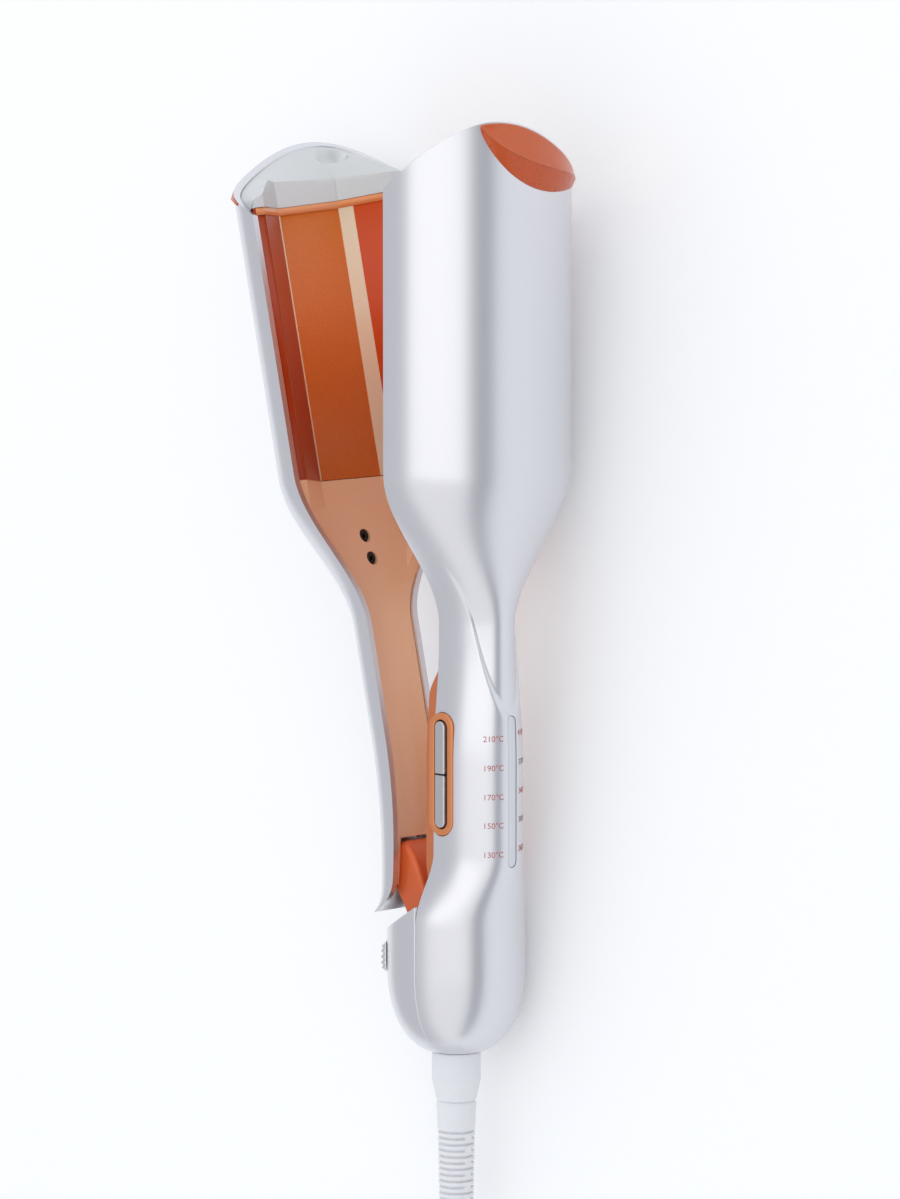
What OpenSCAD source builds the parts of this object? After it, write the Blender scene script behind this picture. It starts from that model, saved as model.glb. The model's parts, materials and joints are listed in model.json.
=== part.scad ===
// Deep wave hair waver, lying on its side with the jaw sprung open and the keys up.
// Tool frame: X points out of the fixed arm, Y runs from the hinge to the tips, Z is up.
// Both arms are drawn closed; the lever is then turned open about the hinge pin.

/* [Barrels] */
// Width across both barrel shells
barrel_w = 76; // [72:1:80]
// Depth of the fixed barrel behind its rim
base_depth = 33; // [30:1:36]
// Depth of the lever barrel behind its rim
lever_depth = 26; // [24:1:30]
// Distance from the hinge to the tips, at the rim plane
tip_y = 251; // [249:0.5:256]
// Rise of the oblique tips for each millimetre of depth
tip_slope = 0.74; // [0.6:0.02:0.8]
// Height of the sideways wave along the tips
tip_wave = 6.6; // [4:0.2:7]
// Gap between the two rims with the jaw closed
rim_gap = 7; // [6:0.5:8]
// Wall of the moulded shells
wall = 2.2; // [1.8:0.1:2.6]

/* [Heating plates] */
// Lower end of both plates
plate_y = 158; // [154:1:162]
// Height of the lever plate's upper end above the tips' middle height
plate_rise = 2; // [0:0.5:3]
// Depth of the fixed plate's upper end below the tips' middle height
ridge_drop = 11; // [10:0.5:14]
// Sideways rise of the plates' upper ends for each millimetre
plate_lean = 0.06; // [0.02:0.01:0.1]
// Height of the trough's silver end above the tips' middle height
trough_rise = 10.5; // [9.5:0.5:11]
// Depth of the lever's trough below its rim
trough_depth = 12.5; // [11:0.5:13]
// Width of the trough's flat floor
floor_w = 28; // [24:1:30]
// Width of the rim beside the trough's lips
lip_w = 6.5; // [6:0.5:8]
// Gap between the closed plates
hair_gap = 1.6; // [1.2:0.2:2.4]
// Thickness of the plate sheet
plate_t = 2; // [1.6:0.2:2.4]

/* [Handle] */
// Half width of the fixed grip
grip_half = 14.8; // [14:0.2:16]
// Outer face of the fixed grip
grip_out = 23; // [22:0.5:25]
// Half width of both necks
neck_half = 12.2; // [11.6:0.2:13]
// Outer face of the fixed neck
neck_out = 21.5; // [20.5:0.5:22.5]
// Face of the inner frame in front of the grip's rim
frame_face = 4.3; // [3.5:0.2:4.7]
// Height of the step where the grip swells below the neck
swell = 0.9; // [0.5:0.1:1.2]
// Outer radius of the round foot
foot_r = 23.4; // [22.8:0.2:24.4]
// Depth of the lever's handle at the neck
lever_out = 24.5; // [23.5:0.5:26]

/* [Hinge] */
// Distance from the fixed rim to the pin
hinge_x = 12; // [11:0.5:13]
// Diameter of the hinge pin
pin_d = 4; // [3:0.5:5]
// Running clearance of the hinge, on the radius
pin_fit = 0.05; // [0.03:0.01:0.08]
// Angle of the open jaw
open_angle = 12.8; // [11:0.2:13.4]
// Wire of the return spring
spring_wire = 1.2; // [1:0.1:1.4]

/* [Controls] */
// Length of the orange key surround
bezel_l = 41.6; // [40:0.4:44]
// Width of the key surround
bezel_w = 10.2; // [9.8:0.2:11]
// Length of the two keys together
keys_l = 36; // [34:0.5:37]
// Width of the keys
keys_w = 4.4; // [4.1:0.1:4.8]
// Travel of each key
key_travel = 0.6; // [0.4:0.1:0.8]
// Length of the scale window
window_l = 51; // [46:1:52]
// Width of the scale window
window_w = 3.8; // [3.2:0.2:4.2]

/* [Jaw lock] */
// Length of the lock's thumb pad
lock_l = 10; // [8:0.5:11]
// Travel of the lock
lock_travel = 5; // [4:0.5:5.5]
// Angle of the lock round the foot
lock_angle = 30; // [24:1:34]

/* [Cord outlet] */
// Radius of the swivel collar
collar_r = 8.3; // [7.8:0.1:8.8]
// Radius of the swivel hub
hub_r = 6; // [5.6:0.1:6.2]
// Radius of the strain relief at its ribs
relief_r = 6.3; // [6:0.1:6.8]
// Length of the strain relief
relief_l = 44; // [40:1:50]
// Diameter of the mains cord
cord_d = 6; // [5.6:0.1:6.4]

/* [Hidden] */

silver = "#c9c9cd";
copper = "#c8683a";
accent_orange = "#de7341";
steel = "#b8babd";
dark = "#303236";
board_green = "#2f6b4a";
brass = "#c9a24a";
white_plastic = "#dcdde0";

slack = 0.15;        // sliding fit between moulded pieces
arc_n = 24;          // facets round a shell section
barrel_half = barrel_w / 2;
wave_half = barrel_half * 27 / 38;
shoulder_y = plate_y + 2;    // the barrels are full width above this
neck_y = 108;        // the necks are narrow below this
grip_y = 62;         // the grip is full below this
foot_x = -3.5;       // axis of the round foot and the cord outlet
foot_top = 31;       // the foot starts to flare here
foot_full = 7;       // the foot is round below this
dome_y = -8;         // the foot's dome starts here
dome_h = 32;         // height of the full dome
dome_power = 2.4;
shell_end = -38;     // lower edge of the foot's shells
lever_end = 11;      // lower end of the lever's shell
lever_bow = 70;      // the lever's handle bows outwards below this

function smooth(t) = let (c = min(1, max(0, t))) c * c * (3 - 2 * c);
function mix(a, b, t) = a + (b - a) * t;
function steps(a, b, n) = [for (i = [0 : n]) mix(a, b, i / n)];

// ---- profiles of the two arms along Y
function barrel_part(y) = smooth((y - neck_y) / (shoulder_y - neck_y));
function neck_part(y) = smooth((y - grip_y) / 40);
function foot_part(y) = smooth((foot_top - y) / (foot_top - foot_full));
function dome(y) = y >= dome_y ? 1
    : pow(max(0, 1 - pow((dome_y - y) / dome_h, dome_power)), 1 / dome_power);
function handle_half(y) = mix(grip_half, neck_half, neck_part(y));
function arm_half(y) = mix(handle_half(y), barrel_half, barrel_part(y));
function base_half(y) = mix(arm_half(y), foot_r, foot_part(y)) * dome(y);
function base_mid(y) = mix(mix(4, 2, barrel_part(y)), foot_x, foot_part(y));
function base_out(y) = mix(mix(mix(grip_out, neck_out, neck_part(y)), base_depth, barrel_part(y)),
                           foot_x + foot_r, foot_part(y));
function base_reach(y) = (base_out(y) - base_mid(y)) * dome(y);
function bow(y) = pow(max(0, (lever_bow - y) / 60), 2);
function lever_rim(y) = -rim_gap - 3 * smooth((shoulder_y - y) / 50) - 12 * bow(y)
    - 8 * pow(max(0, (22 - y) / 11), 3);
function lever_back(y) = -mix(lever_out, rim_gap + lever_depth, barrel_part(y)) - 9 * bow(y);
function lever_half(y) = mix(neck_half - 1.2 * bow(y), barrel_half, barrel_part(y));

// ---- shell sections: an outer arc and the wall's inner arc, both cut at the rim plane
function arc_pts(mid, rx, rz, a0, a1, y, cut) = [
    for (a = steps(a0, a1, arc_n)) let (q = cut ? tongue(y, a) : 0)
        [mid + (rx - q) * cos(a), y, (rz - q) * sin(a)]
];
// the neck runs down over the grip as a tongue, one step below its surface
function tongue(y, a) = swell * smooth((y - 76 - 31 * pow(abs(a) / 55, 2)) / 5)
    * smooth((134 - y) / 30);
function back(list) = [for (i = [len(list) - 1 : -1 : 0]) list[i]];
function open_ring(mid, rx, rz, rim, y, side, cut = false) =
    let (a = acos((rim - mid) / rx), b = acos((rim - mid) / (rx - wall)))
    concat(arc_pts(mid, rx, rz, side > 0 ? -a : a, side > 0 ? a : 360 - a, y, cut),
           back(arc_pts(mid, rx - wall, rz - wall, side > 0 ? -b : b,
                        side > 0 ? b : 360 - b, y, cut)));
function base_ring(y) =
    open_ring(base_mid(y), base_reach(y), base_half(y), 0, y, 1, true);
function lever_ring(y) =
    open_ring(lever_rim(y), lever_rim(y) - lever_back(y), lever_half(y), lever_rim(y), y, -1);

plate_top = tip_y + plate_rise;
ridge_top = tip_y - ridge_drop;
// height of a tip's edge: oblique in depth, with a wave across the barrel's width
function tip_edge(x, z, side) = tip_y + tip_slope * abs(x)
    + tip_wave * (sin(side * z * 90 / wave_half) - 0.36);
function at_tip(ring, side) = [for (p = ring) [p[0], tip_edge(p[0], p[2], side), p[2]]];

// skins a list of C shaped rings; the two ends are closed across the wall
module skin_open(rings) {
    n = len(rings[0]);
    h = n / 2;
    last = (len(rings) - 1) * n;
    polyhedron([for (r = rings) each r], concat(
        [for (i = [0 : len(rings) - 2], j = [0 : n - 1]) let (k = (j + 1) % n, p = i * n, q = p + n)
            each [[p + j, p + k, q + k], [p + j, q + k, q + j]]],
        [for (j = [0 : h - 2]) each [[j, n - 2 - j, j + 1], [j, n - 1 - j, n - 2 - j]]],
        [for (j = [0 : h - 2]) each [[last + j, last + j + 1, last + n - 2 - j],
                                     [last + j, last + n - 2 - j, last + n - 1 - j]]]));
}

// skins a list of closed outlines; each end is one flat face
module skin_solid(rings) {
    n = len(rings[0]);
    last = (len(rings) - 1) * n;
    polyhedron([for (r = rings) each r], concat(
        [for (i = [0 : len(rings) - 2], j = [0 : n - 1]) let (k = (j + 1) % n, p = i * n, q = p + n)
            each [[p + j, q + k, p + k], [p + j, q + j, q + k]]],
        [[for (j = [0 : n - 1]) j]],
        [[for (j = [n - 1 : -1 : 0]) last + j]]));
}

// an outline in X and Z, extruded along Y from y0 to y1
module along_y(y0, y1) translate([0, y1, 0]) rotate([90, 0, 0]) linear_extrude(y1 - y0) children();
module rod_y(r, y0, y1, fn = 48) translate([0, y1, 0]) rotate([90, 0, 0])
    cylinder(r = r, h = y1 - y0, $fn = fn);
module box(x, y, z) translate([x[0], y[0], z[0]]) cube([x[1] - x[0], y[1] - y[0], z[1] - z[0]]);
module both_sides() {
    children();
    mirror([0, 0, 1]) children();
}
function flip(p) = [for (i = [len(p) - 1 : -1 : 0]) [p[i][0], -p[i][1]]];
function mirrored(p) = concat(p, flip(p));
function at_y(p, y) = [for (q = p) [q[0], y, q[1]]];

dome_ys = steps(shell_end, dome_y, 10);
body_ys = concat(dome_ys, steps(dome_y + 5, shoulder_y + 2, 33));
lever_ys = concat(steps(lever_end, 26, 5), steps(31, shoulder_y + 2, 26));

// ---- placement on the table
tilt = atan((barrel_half - foot_r) / (shoulder_y - 2 + 8));
function table_z(y, half) = y * sin(tilt) - half * cos(tilt);
lift = -min(concat([for (y = body_ys) table_z(y, base_half(y))],
                   [for (y = lever_ys) table_z((lever_rim(y) + hinge_x) * sin(open_angle)
                                               + y * cos(open_angle), lever_half(y))]));
lens_rise = 1.3;
lens_from = -70;
lens_to = 33;
lens_drop = 17.6;
lens_angles = steps(lens_from, lens_to, 26);
// each tip's outermost points: the lens's upper edge and the shell's rim
function lens_edge(mid, rx, side) = [for (a = lens_angles) let (
    x = mid + side * (rx + lens_rise) * cos(a), z = side * (barrel_half + lens_rise) * sin(a))
    [x, tip_edge(x, z, side) - 0.6, z]];
base_tips = concat(lens_edge(2, base_depth - 2, 1), at_tip(base_ring(shoulder_y + 2), 1));
lever_tips = concat(lens_edge(-rim_gap, lever_depth, -1),
                    at_tip(lever_ring(shoulder_y + 2), -1));
relief_y = -53.5;
cord_y = relief_y - relief_l - 2;
x_min = min([for (p = lever_tips) -hinge_x + (p[0] + hinge_x) * cos(open_angle)
    - p[1] * sin(open_angle)]);
x_max = max([for (p = base_tips) p[0]]);
y_top = max([for (p = base_tips) p[1] * cos(tilt) - p[2] * sin(tilt)]);
y_low = cord_y * cos(tilt) - 4.2 * sin(tilt);
place = [-(x_min + x_max) / 2, -(y_top + y_low) / 2, lift];
module rest() translate(place) rotate([tilt, 0, 0]) children();
function rested(p) = [place[0] + p[0], place[1] + p[1] * cos(tilt) - p[2] * sin(tilt),
                      place[2] + p[1] * sin(tilt) + p[2] * cos(tilt)];
module opened() rest() translate([-hinge_x, 0, 0]) rotate([0, 0, open_angle])
    translate([hinge_x, 0, 0]) children();

// ---- fixed arm
bezel_x = 3.9;
bezel_y = 58;
bezel_low = 12.2;
bezel_top = 15.35;
bezel_slope = 5.4;
window_y = 52.5;
module stadium(l, w, h) {
    translate([-w / 2, -(l - w) / 2, 0]) cube([w, l - w, h]);
    for (s = [-1, 1]) translate([0, s * (l - w) / 2, 0]) cylinder(d = w, h = h, $fn = 48);
}
module oval(l, w, h, r = 0) hull() for (s = [-1, 1]) translate([0, s * (l - w) / 2, 0])
    cylinder(r1 = w / 2, r2 = w / 2 - r, h = h, $fn = 40);
module slot_x(y0, y1, w, x0, x1) {
    box([x0, x1], [y0 + w / 2, y1 - w / 2], [-w / 2, w / 2]);
    for (y = [y0 + w / 2, y1 - w / 2]) translate([x0, y, 0]) rotate([0, 90, 0])
        cylinder(d = w, h = x1 - x0, $fn = 32);
}

module base_shell() color(silver) rest() difference() {
    union() {
        skin_open(concat([for (y = body_ys) base_ring(y)], [at_tip(base_ring(shoulder_y + 3), 1)]));
        both_sides() translate([5.6, 3, 5.6]) rotate([0, 90, 0])
            cylinder(r = 2.9, h = 11.6, $fn = 32);
        for (y = board_holes) box([board_hole_x - 2.6, base_out(y) - wall + 0.6], [y - 3, y + 3],
                                  [board_z - 3, board_z - 0.15]);
    }
    both_sides() translate([5, 3, 5.6]) rotate([0, 90, 0]) cylinder(d = 2.42, h = 7, $fn = 24);
    for (y = board_holes) translate([board_hole_x, y, 0]) cylinder(d = 2.42, h = 8, $fn = 24);
    translate([bezel_x, bezel_y, 8]) stadium(bezel_l + 0.3, bezel_w + 0.3, 12);
    slot_x(window_y - window_l / 2 - 0.1, window_y + window_l / 2 + 0.1, window_w + 0.2, 16, 26);
}

cover_ys = concat(dome_ys, [-5, -2]);
module rear_cover() color(silver) rest() difference() {
    skin_open(concat([for (y = cover_ys) cover_ring(y, 0)], [cover_ring(2, 1)]));
    translate([foot_x, 0, 0]) rotate([0, -180 + lock_angle, 0])
        box([foot_r - 4, foot_r + 2], [-14.4, -1.2], [-1.65, 1.65]);
}
// the cover's upper lip climbs from the back of the foot towards the seam
function lip(x) = 9.5 * pow(max(0, (x - foot_x + foot_r) / foot_r), 1.5);
function cover_ring(y, climb) = let (r = open_ring(base_mid(y), base_reach(y), base_half(y), -0.1,
                                                   y, -1))
    [for (p = r) [p[0], p[1] + climb * lip(p[0]), p[2]]];

ridge_x = rim_gap + trough_depth - hair_gap;
ridge_half = floor_w / 2 - 0.4;
ridge_foot = 30;
ridge_side = rim_gap - 1.1;
rail_face = 1;
frame_in = 1.3;
function ramp_part(y) = smooth((y - 118) / (plate_y - 118));
function face_x(y) = mix(mix(frame_face, rail_face, smooth((y - 84) / 11)), rail_face,
                         smooth((28 - y) / 16));
function frame_half(y) = arm_half(y) - mix(0.5, frame_in, smooth((y - 84) / 11));
// a tray section: the visible face and the matching back face, joined at both flanges
function tray(face, rear, y) = at_y(concat(mirrored(face), back(mirrored(rear))), y);
function frame_ring(y) = let (
    h = frame_half(y), k = arm_half(y) - wall - slack - 0.5, e = face_x(y), b = ramp_part(y),
    f = mix(h - 6, ridge_foot, b), s = mix(e, ridge_side, b), r = mix(e, ridge_x, b),
    g = mix(h - 8, ridge_half, b), t = 1.8)
    tray([[4, k], [-0.1, k], [-0.1, h], [-e + 0.8, h], [-e, h - 0.8], [-e, f], [-s - 0.02, f - 0.1],
          [-r - 0.04, g]],
         [[4, k - t], [1.2, k - t], [0.9, k - t - 0.02], [-e + t + 0.2, k - t - 0.1],
          [-e + t, k - t - 0.2], [-e + t, f - 0.3], [-s + t, f - t], [-r + t, g - 0.6]], y);
frame_low = 13;
module base_frame() color(copper) rest() difference() {
    skin_open([for (y = steps(frame_low, plate_y, 29)) frame_ring(y)]);
    translate([bezel_x, bezel_y, 8]) stadium(bezel_l + 0.3, bezel_w + 0.3, 12);
}
// side rails carry the plate's edges along the barrel
module base_rails() color(copper) rest() below(ridge_top, 1) both_sides()
    along_y(plate_y + 0.1, ridge_top + 8) polygon([
        [-0.2, barrel_half - frame_in], [-rail_face + 0.7, barrel_half - frame_in],
        [-rail_face, barrel_half - frame_in - 0.8], [-rail_face, ridge_foot + 0.2],
        [3.06, ridge_foot + 0.2], [3.06, ridge_foot - 3.6], [4.6, ridge_foot - 3.6],
        [4.6, barrel_half - wall - 0.97], [-0.2, barrel_half - wall - 0.97]]);
// the plates and their rails end at a plane that leans sideways with the tips
module below(y, side) difference() {
    children();
    translate([0, y, 0]) rotate([-side * atan(plate_lean), 0, 0]) box([-60, 60], [0, 40], [-60, 60]);
}

// the end caps close the barrels; each follows the trough or the ridge below its oblique face
function cap_arc(mid, rx, rz, a0, a1) = [for (a = steps(a0, a1, 28))
    [mid + rx * cos(a), rz * sin(a)]];
cap_gap = wall + 0.1;
base_cap_line = mirrored(back(concat(
    [[-ridge_x, ridge_half], [-ridge_side, ridge_foot], [-rail_face - 0.02, ridge_foot + 0.02],
     [-rail_face, barrel_half - frame_in], [-0.12, barrel_half - frame_in + 0.02],
     [-0.1, barrel_half - cap_gap - 0.4]],
    cap_arc(2, base_depth - 2 - cap_gap, barrel_half - cap_gap, 92, 2))));
module base_end_cap() color(silver) rest() skin_open([
    [for (p = base_cap_line) [p[0], ridge_top + 0.1 + plate_lean * p[1], p[1]]],
    [for (p = base_cap_line) [p[0], tip_edge(max(0, p[0]), p[1], 1) - 0.4, p[1]]]]);

// orange lens let into each tip below its edge, hanging deepest past the middle
function lens_share(a) = (a - lens_from) / (lens_to - lens_from);
function lens_grid(mid, rx, rz, side) = [
    for (a = lens_angles) let (
        z = side * rz * sin(a), x = mid + side * rx * cos(a), top = tip_edge(x, z, side) - 0.6,
        low = top - 1 - lens_drop * pow(max(0, sin(180 * pow(lens_share(a), 2))), 0.75))
        [[x, low, z], [x, top, z]]];
function lens_ring(a, b) = [a[0], a[1], b[1], b[0]];
module lens(mid, rx, rz, side) {
    outer = lens_grid(mid, rx + lens_rise, rz + lens_rise, side);
    inner = lens_grid(mid, rx + 0.05, rz + 0.05, side);
    rings = [for (i = [0 : len(outer) - 1]) lens_ring(inner[i], outer[i])];
    skin_solid(back(rings));
}
module base_accent() color(accent_orange) rest()
    lens(2, base_depth - 2, barrel_half, 1);

// heating plates are extruded strips with a channel behind for the heater
heater_half = 10.4;
heater_t = 2;
channel_d = 5.4;
module base_plate() color(copper) rest() below(ridge_top, 1) along_y(plate_y + 0.2, ridge_top + 8) {
    difference() {
        polygon(mirrored([[2.9, ridge_foot - 3], [2.9, ridge_foot], [-ridge_side, ridge_foot],
                          [-ridge_x, ridge_half]]));
        polygon(mirrored([[3.9, ridge_foot - plate_t], [-ridge_side + plate_t * 0.6,
                           ridge_foot - plate_t], [-ridge_x + plate_t, ridge_half - 0.6]]));
        }
    channel(-ridge_x + plate_t, 1);
}
module channel(x, side) for (s = [-1, 1])
    polygon([for (p = [[-0.3, heater_half + 0.2], [-0.3, heater_half + 1.6],
                       [channel_d, heater_half + 1.6], [channel_d, heater_half - 1.6],
                       [channel_d - 1.2, heater_half - 1.6], [channel_d - 1.2, heater_half + 0.2]])
             [x + side * p[0], s * p[1]]]);
module heater_bar(x, side) along_y(plate_y + 12, ridge_top - 6)
    polygon([for (p = [[0.05, -heater_half], [0.05, heater_half], [heater_t, heater_half],
                       [heater_t, -heater_half]]) [x + side * p[0], p[1]]]);
// a bowed leaf pushes the heater against the plate from the channel's lips
module heater_leaf(x, side) along_y(plate_y + 16, ridge_top - 10)
    polygon([for (p = concat([for (z = steps(-9.6, 9.6, 12)) [leaf_x(z), z]],
                             [for (z = steps(9.6, -9.6, 12)) [leaf_x(z) + 0.5, z]]))
             [x + side * p[0], p[1]]]);
function leaf_x(z) = heater_t + 0.05 + 1.6 * pow(z / 9.6, 2);
module base_heater() color(white_plastic) rest() heater_bar(-ridge_x + plate_t, 1);
module base_heater_clip() color(steel) rest() heater_leaf(-ridge_x + plate_t, 1);
module base_sensor() color("#7a3b2a") rest()
    translate([-ridge_x + plate_t + heater_t + 1.45, plate_y + 8.4, 0]) sensor();
module sensor() {
    rod_y(1.2, -4, 4, 24);
    rod_y(0.45, -9, -4, 16);
}

// leads: two wires run from the control board up the neck to the heater
base_lead_route = [[6, 98.3, 5.4], [6, 104, 5.6], [6, 118, 7], [3, plate_y - 18, 7.6],
                   [6.9 - ridge_x, plate_y, 7.2], [3.1 - ridge_x, plate_y + 8, 7],
                   [3 - ridge_x, plate_y + 11.8, 7]];
module base_leads() color("#b03a2e") rest() both_sides() sweep(base_lead_route, 0.7, 8);

// ---- sweeps a round tube along a list of points
function unit(v) = v / norm(v);
function heading(p, i) = unit(p[min(i + 1, len(p) - 1)] - p[max(i - 1, 0)]);
function sweep_ring(p, i, r, n) = let (t = heading(p, i), s = unit(cross(t, [0.01, 0.02, 1])),
                                       u = cross(s, t))
    [for (k = [0 : n - 1]) p[i] + r * (cos(360 * k / n) * s + sin(360 * k / n) * u)];
module sweep(p, r, n) skin_solid(back([for (i = [0 : len(p) - 1]) sweep_ring(p, i, r, n)]));

// ---- keys and board
module button_bezel() color(accent_orange) rest() translate([bezel_x, bezel_y, bezel_low])
    difference() {
        intersection() {
            oval(bezel_l, bezel_w, 6);
            translate([0, 0, bezel_top - bezel_low]) rotate([0, bezel_slope, 0]) {
                translate([0, 0, -6]) oval(bezel_l + 3, bezel_w + 3, 5.2);
                translate([0, 0, -0.8]) oval(bezel_l, bezel_w, 0.8, 0.7);
            }
        }
        translate([0, 0, -1]) oval(keys_l + 1, keys_w + 1, 8);
    }
key_base = 9.6;
module key(side) rest() translate([bezel_x, bezel_y, 0]) {
    intersection() {
        translate([0, 0, key_base + 1.4]) oval(keys_l, keys_w, 4.75, 0.3);
        box([-5, 5], side > 0 ? [0.2, keys_l] : [-keys_l, -0.2], [0, 20]);
    }
    box([-3.4, 3.4], side > 0 ? [0.5, keys_l / 2 + 0.6] : [-keys_l / 2 - 0.6, -0.5],
        [key_base + 0.4, key_base + 1.4]);
}
module key_up() color(silver) key(1);
module key_down() color(silver) key(-1);
board_z = 4.6;
board_holes = [39, 93];
board_hole_x = 11;
module tact_switches() color(dark) rest() for (s = [-1, 1])
    translate([bezel_x, bezel_y + s * 9, board_z + 1.6]) {
        box([-3, 3], [-3, 3], [0, 2.2]);
        translate([0, 0, 2.2]) cylinder(d = 3, h = 0.9, $fn = 24);
    }
module circuit_board() color(board_green) rest() difference() {
    union() {
        box([-1, 14], [34, 86], [board_z, board_z + 1.6]);
        box([1.4, 14], [85, 98], [board_z, board_z + 1.6]);
    }
    for (y = board_holes) translate([board_hole_x, y, board_z - 1])
        cylinder(d = 2.6, h = 4, $fn = 24);
}
module board_parts() color(dark) rest() {
    translate([7.5, 80, board_z - 9]) cylinder(d = 8, h = 9, $fn = 32);
    box([1, 11], [50, 62], [board_z - 7, board_z]);
    box([2, 8], [84, 90], [board_z + 1.6, board_z + 3]);
    box([9.4, 13.4], [62, 68], [board_z + 1.6, board_z + 2.8]);
}
module display_board() color(board_green) rest()
    box([17, 18], [window_y - 26, window_y + 26], [-5, 1.2]);
module display_lamps() color("#f4f1e6") rest() for (i = [-2 : 2])
    box([18, 18.9], [window_y + i * 10 - 1.2, window_y + i * 10 + 1.2], [-0.9, 0.9]);
module scale_window() color("#e4e5e8") rest() intersection() {
    slot_x(window_y - window_l / 2, window_y + window_l / 2, window_w, 19.1, 25);
    skin_open([for (y = steps(22, 84, 12)) open_ring(base_mid(y), base_reach(y) - 0.1,
                                                     base_half(y), 2, y, 1)]);
}

// ---- hinge
ear_in = 9.4;
ear_out = 12;
module ear() translate([0, 0, ear_in]) linear_extrude(ear_out - ear_in) difference() {
    hull() {
        translate([-hinge_x, 0]) circle(r = 5, $fn = 40);
        translate([2.4, -3]) circle(r = 3, $fn = 24);
        translate([2.4, 9]) circle(r = 3, $fn = 24);
    }
    translate([-hinge_x, 0]) circle(d = pin_d + 0.02, $fn = 40);
}
module hinge_bracket() color(dark) rest() {
    both_sides() ear();
    difference() {
        box([3.2, 5.4], [-6, 12], [-ear_in - 0.2, ear_in + 0.2]);
        both_sides() translate([0, 3, 5.6]) rotate([0, 90, 0]) cylinder(d = 2.6, h = 9, $fn = 24);
    }
}
pin_half = 14.2;
module hinge_pin() color(steel) rest() translate([-hinge_x, 0, -pin_half]) {
    cylinder(d = pin_d, h = 2 * pin_half, $fn = 48);
    cylinder(d = pin_d + 2.4, h = 1.2, $fn = 48);
}
module hinge_washers() color(white_plastic) rest() both_sides()
    translate([-hinge_x, 0, ear_in - 0.65]) difference() {
        cylinder(r = 4.2, h = 0.5, $fn = 40);
        translate([0, 0, -1]) cylinder(d = pin_d + 0.3, h = 3, $fn = 40);
    }
coil_half = 3.1;
spring_r = 3.9;
function spring_point(a) = [spring_r * cos(a), spring_r * sin(a),
                            mix(-coil_half + 0.9, coil_half - 0.9, (a + 30) / 1260)];
module return_spring() color(steel) rest() translate([-hinge_x, 0, 0])
    sweep(concat([[13.2, -6.5, -coil_half + 0.9], [8, -4.6, -coil_half + 0.9]],
                 [for (a = [-30 : 20 : 1230]) spring_point(a)]), spring_wire / 2, 6);

knuckle_r = 5.4;
knuckle_half = 8.6;
arm_z = 6.7;
module lever_knuckle() color(copper) opened() difference() {
    union() {
        for (s = [0, 1]) mirror([0, 0, s]) {
            translate([-hinge_x, 0, coil_half + 0.2])
                cylinder(r = knuckle_r, h = knuckle_half - coil_half - 0.2, $fn = 48);
            translate([0, 0, coil_half + 0.2]) linear_extrude(arm_z - coil_half - 0.2)
                polygon([[-hinge_x - 5.2, 1], [-hinge_x - 8.6, 13], [-24, 23], [-21, 30],
                         [-hinge_x - 3, 34], [-hinge_x + 1, 26], [-hinge_x + 3.6, 12],
                         [-hinge_x + 5.2, 1]]);
        }
        translate([0, 0, -coil_half - 0.3]) linear_extrude(2 * coil_half + 0.6)
            polygon([[-24, 22], [-21, 30], [-hinge_x - 3, 34], [-hinge_x + 1, 26],
                     [-hinge_x + 3, 13], [-hinge_x - 6, 13]]);
    }
    translate([-hinge_x, 0, -20]) cylinder(d = pin_d + 2 * pin_fit, h = 40, $fn = 48);
}

// ---- jaw lock
module lock_slider() color(silver) rest() translate([foot_x, 0, 0])
    rotate([0, -180 + lock_angle, 0]) {
        translate([0, -1.5 - lock_l, 0]) rotate([-90, 0, 0]) rotate([0, 0, -17])
            rotate_extrude(angle = 34, $fn = 96)
                polygon([[foot_r + 0.3, 0], [foot_r + 1, 0], [foot_r + 2, 1.4],
                         [foot_r + 2, lock_l - 1.4], [foot_r + 1, lock_l], [foot_r + 0.3, lock_l]]);
        box([foot_r - 5, foot_r + 0.6], [-1.5 - 7.6, -1.5], [-1.4, 1.4]);
        box([foot_r - 5.6, foot_r - 4.2], [-1.5 - 8.6, -0.9], [-3.4, 3.4]);
    }
module lock_detent() color(steel) rest() translate([foot_x, 0, 0])
    rotate([0, -180 + lock_angle, 0]) box([foot_r - 6.6, foot_r - 6], [-22, -6.6], [-2.4, 2.4]);

// ---- screws
module screw_z(l) {
    cylinder(d = 2.4, h = l, $fn = 24);
    translate([0, 0, -1.6]) difference() {
        cylinder(d = 4.4, h = 1.6, $fn = 32);
        translate([0, 0, -0.4]) cylinder(d = 2, h = 1.2, $fn = 6);
    }
}
module hinge_screws() color(steel) rest() both_sides() translate([3, 3, 5.6])
    rotate([0, 90, 0]) screw_z(8);
module board_screws() color(steel) rest() for (y = board_holes)
    translate([board_hole_x, y, board_z + 1.8]) rotate([180, 0, 0]) screw_z(4.4);

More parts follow.
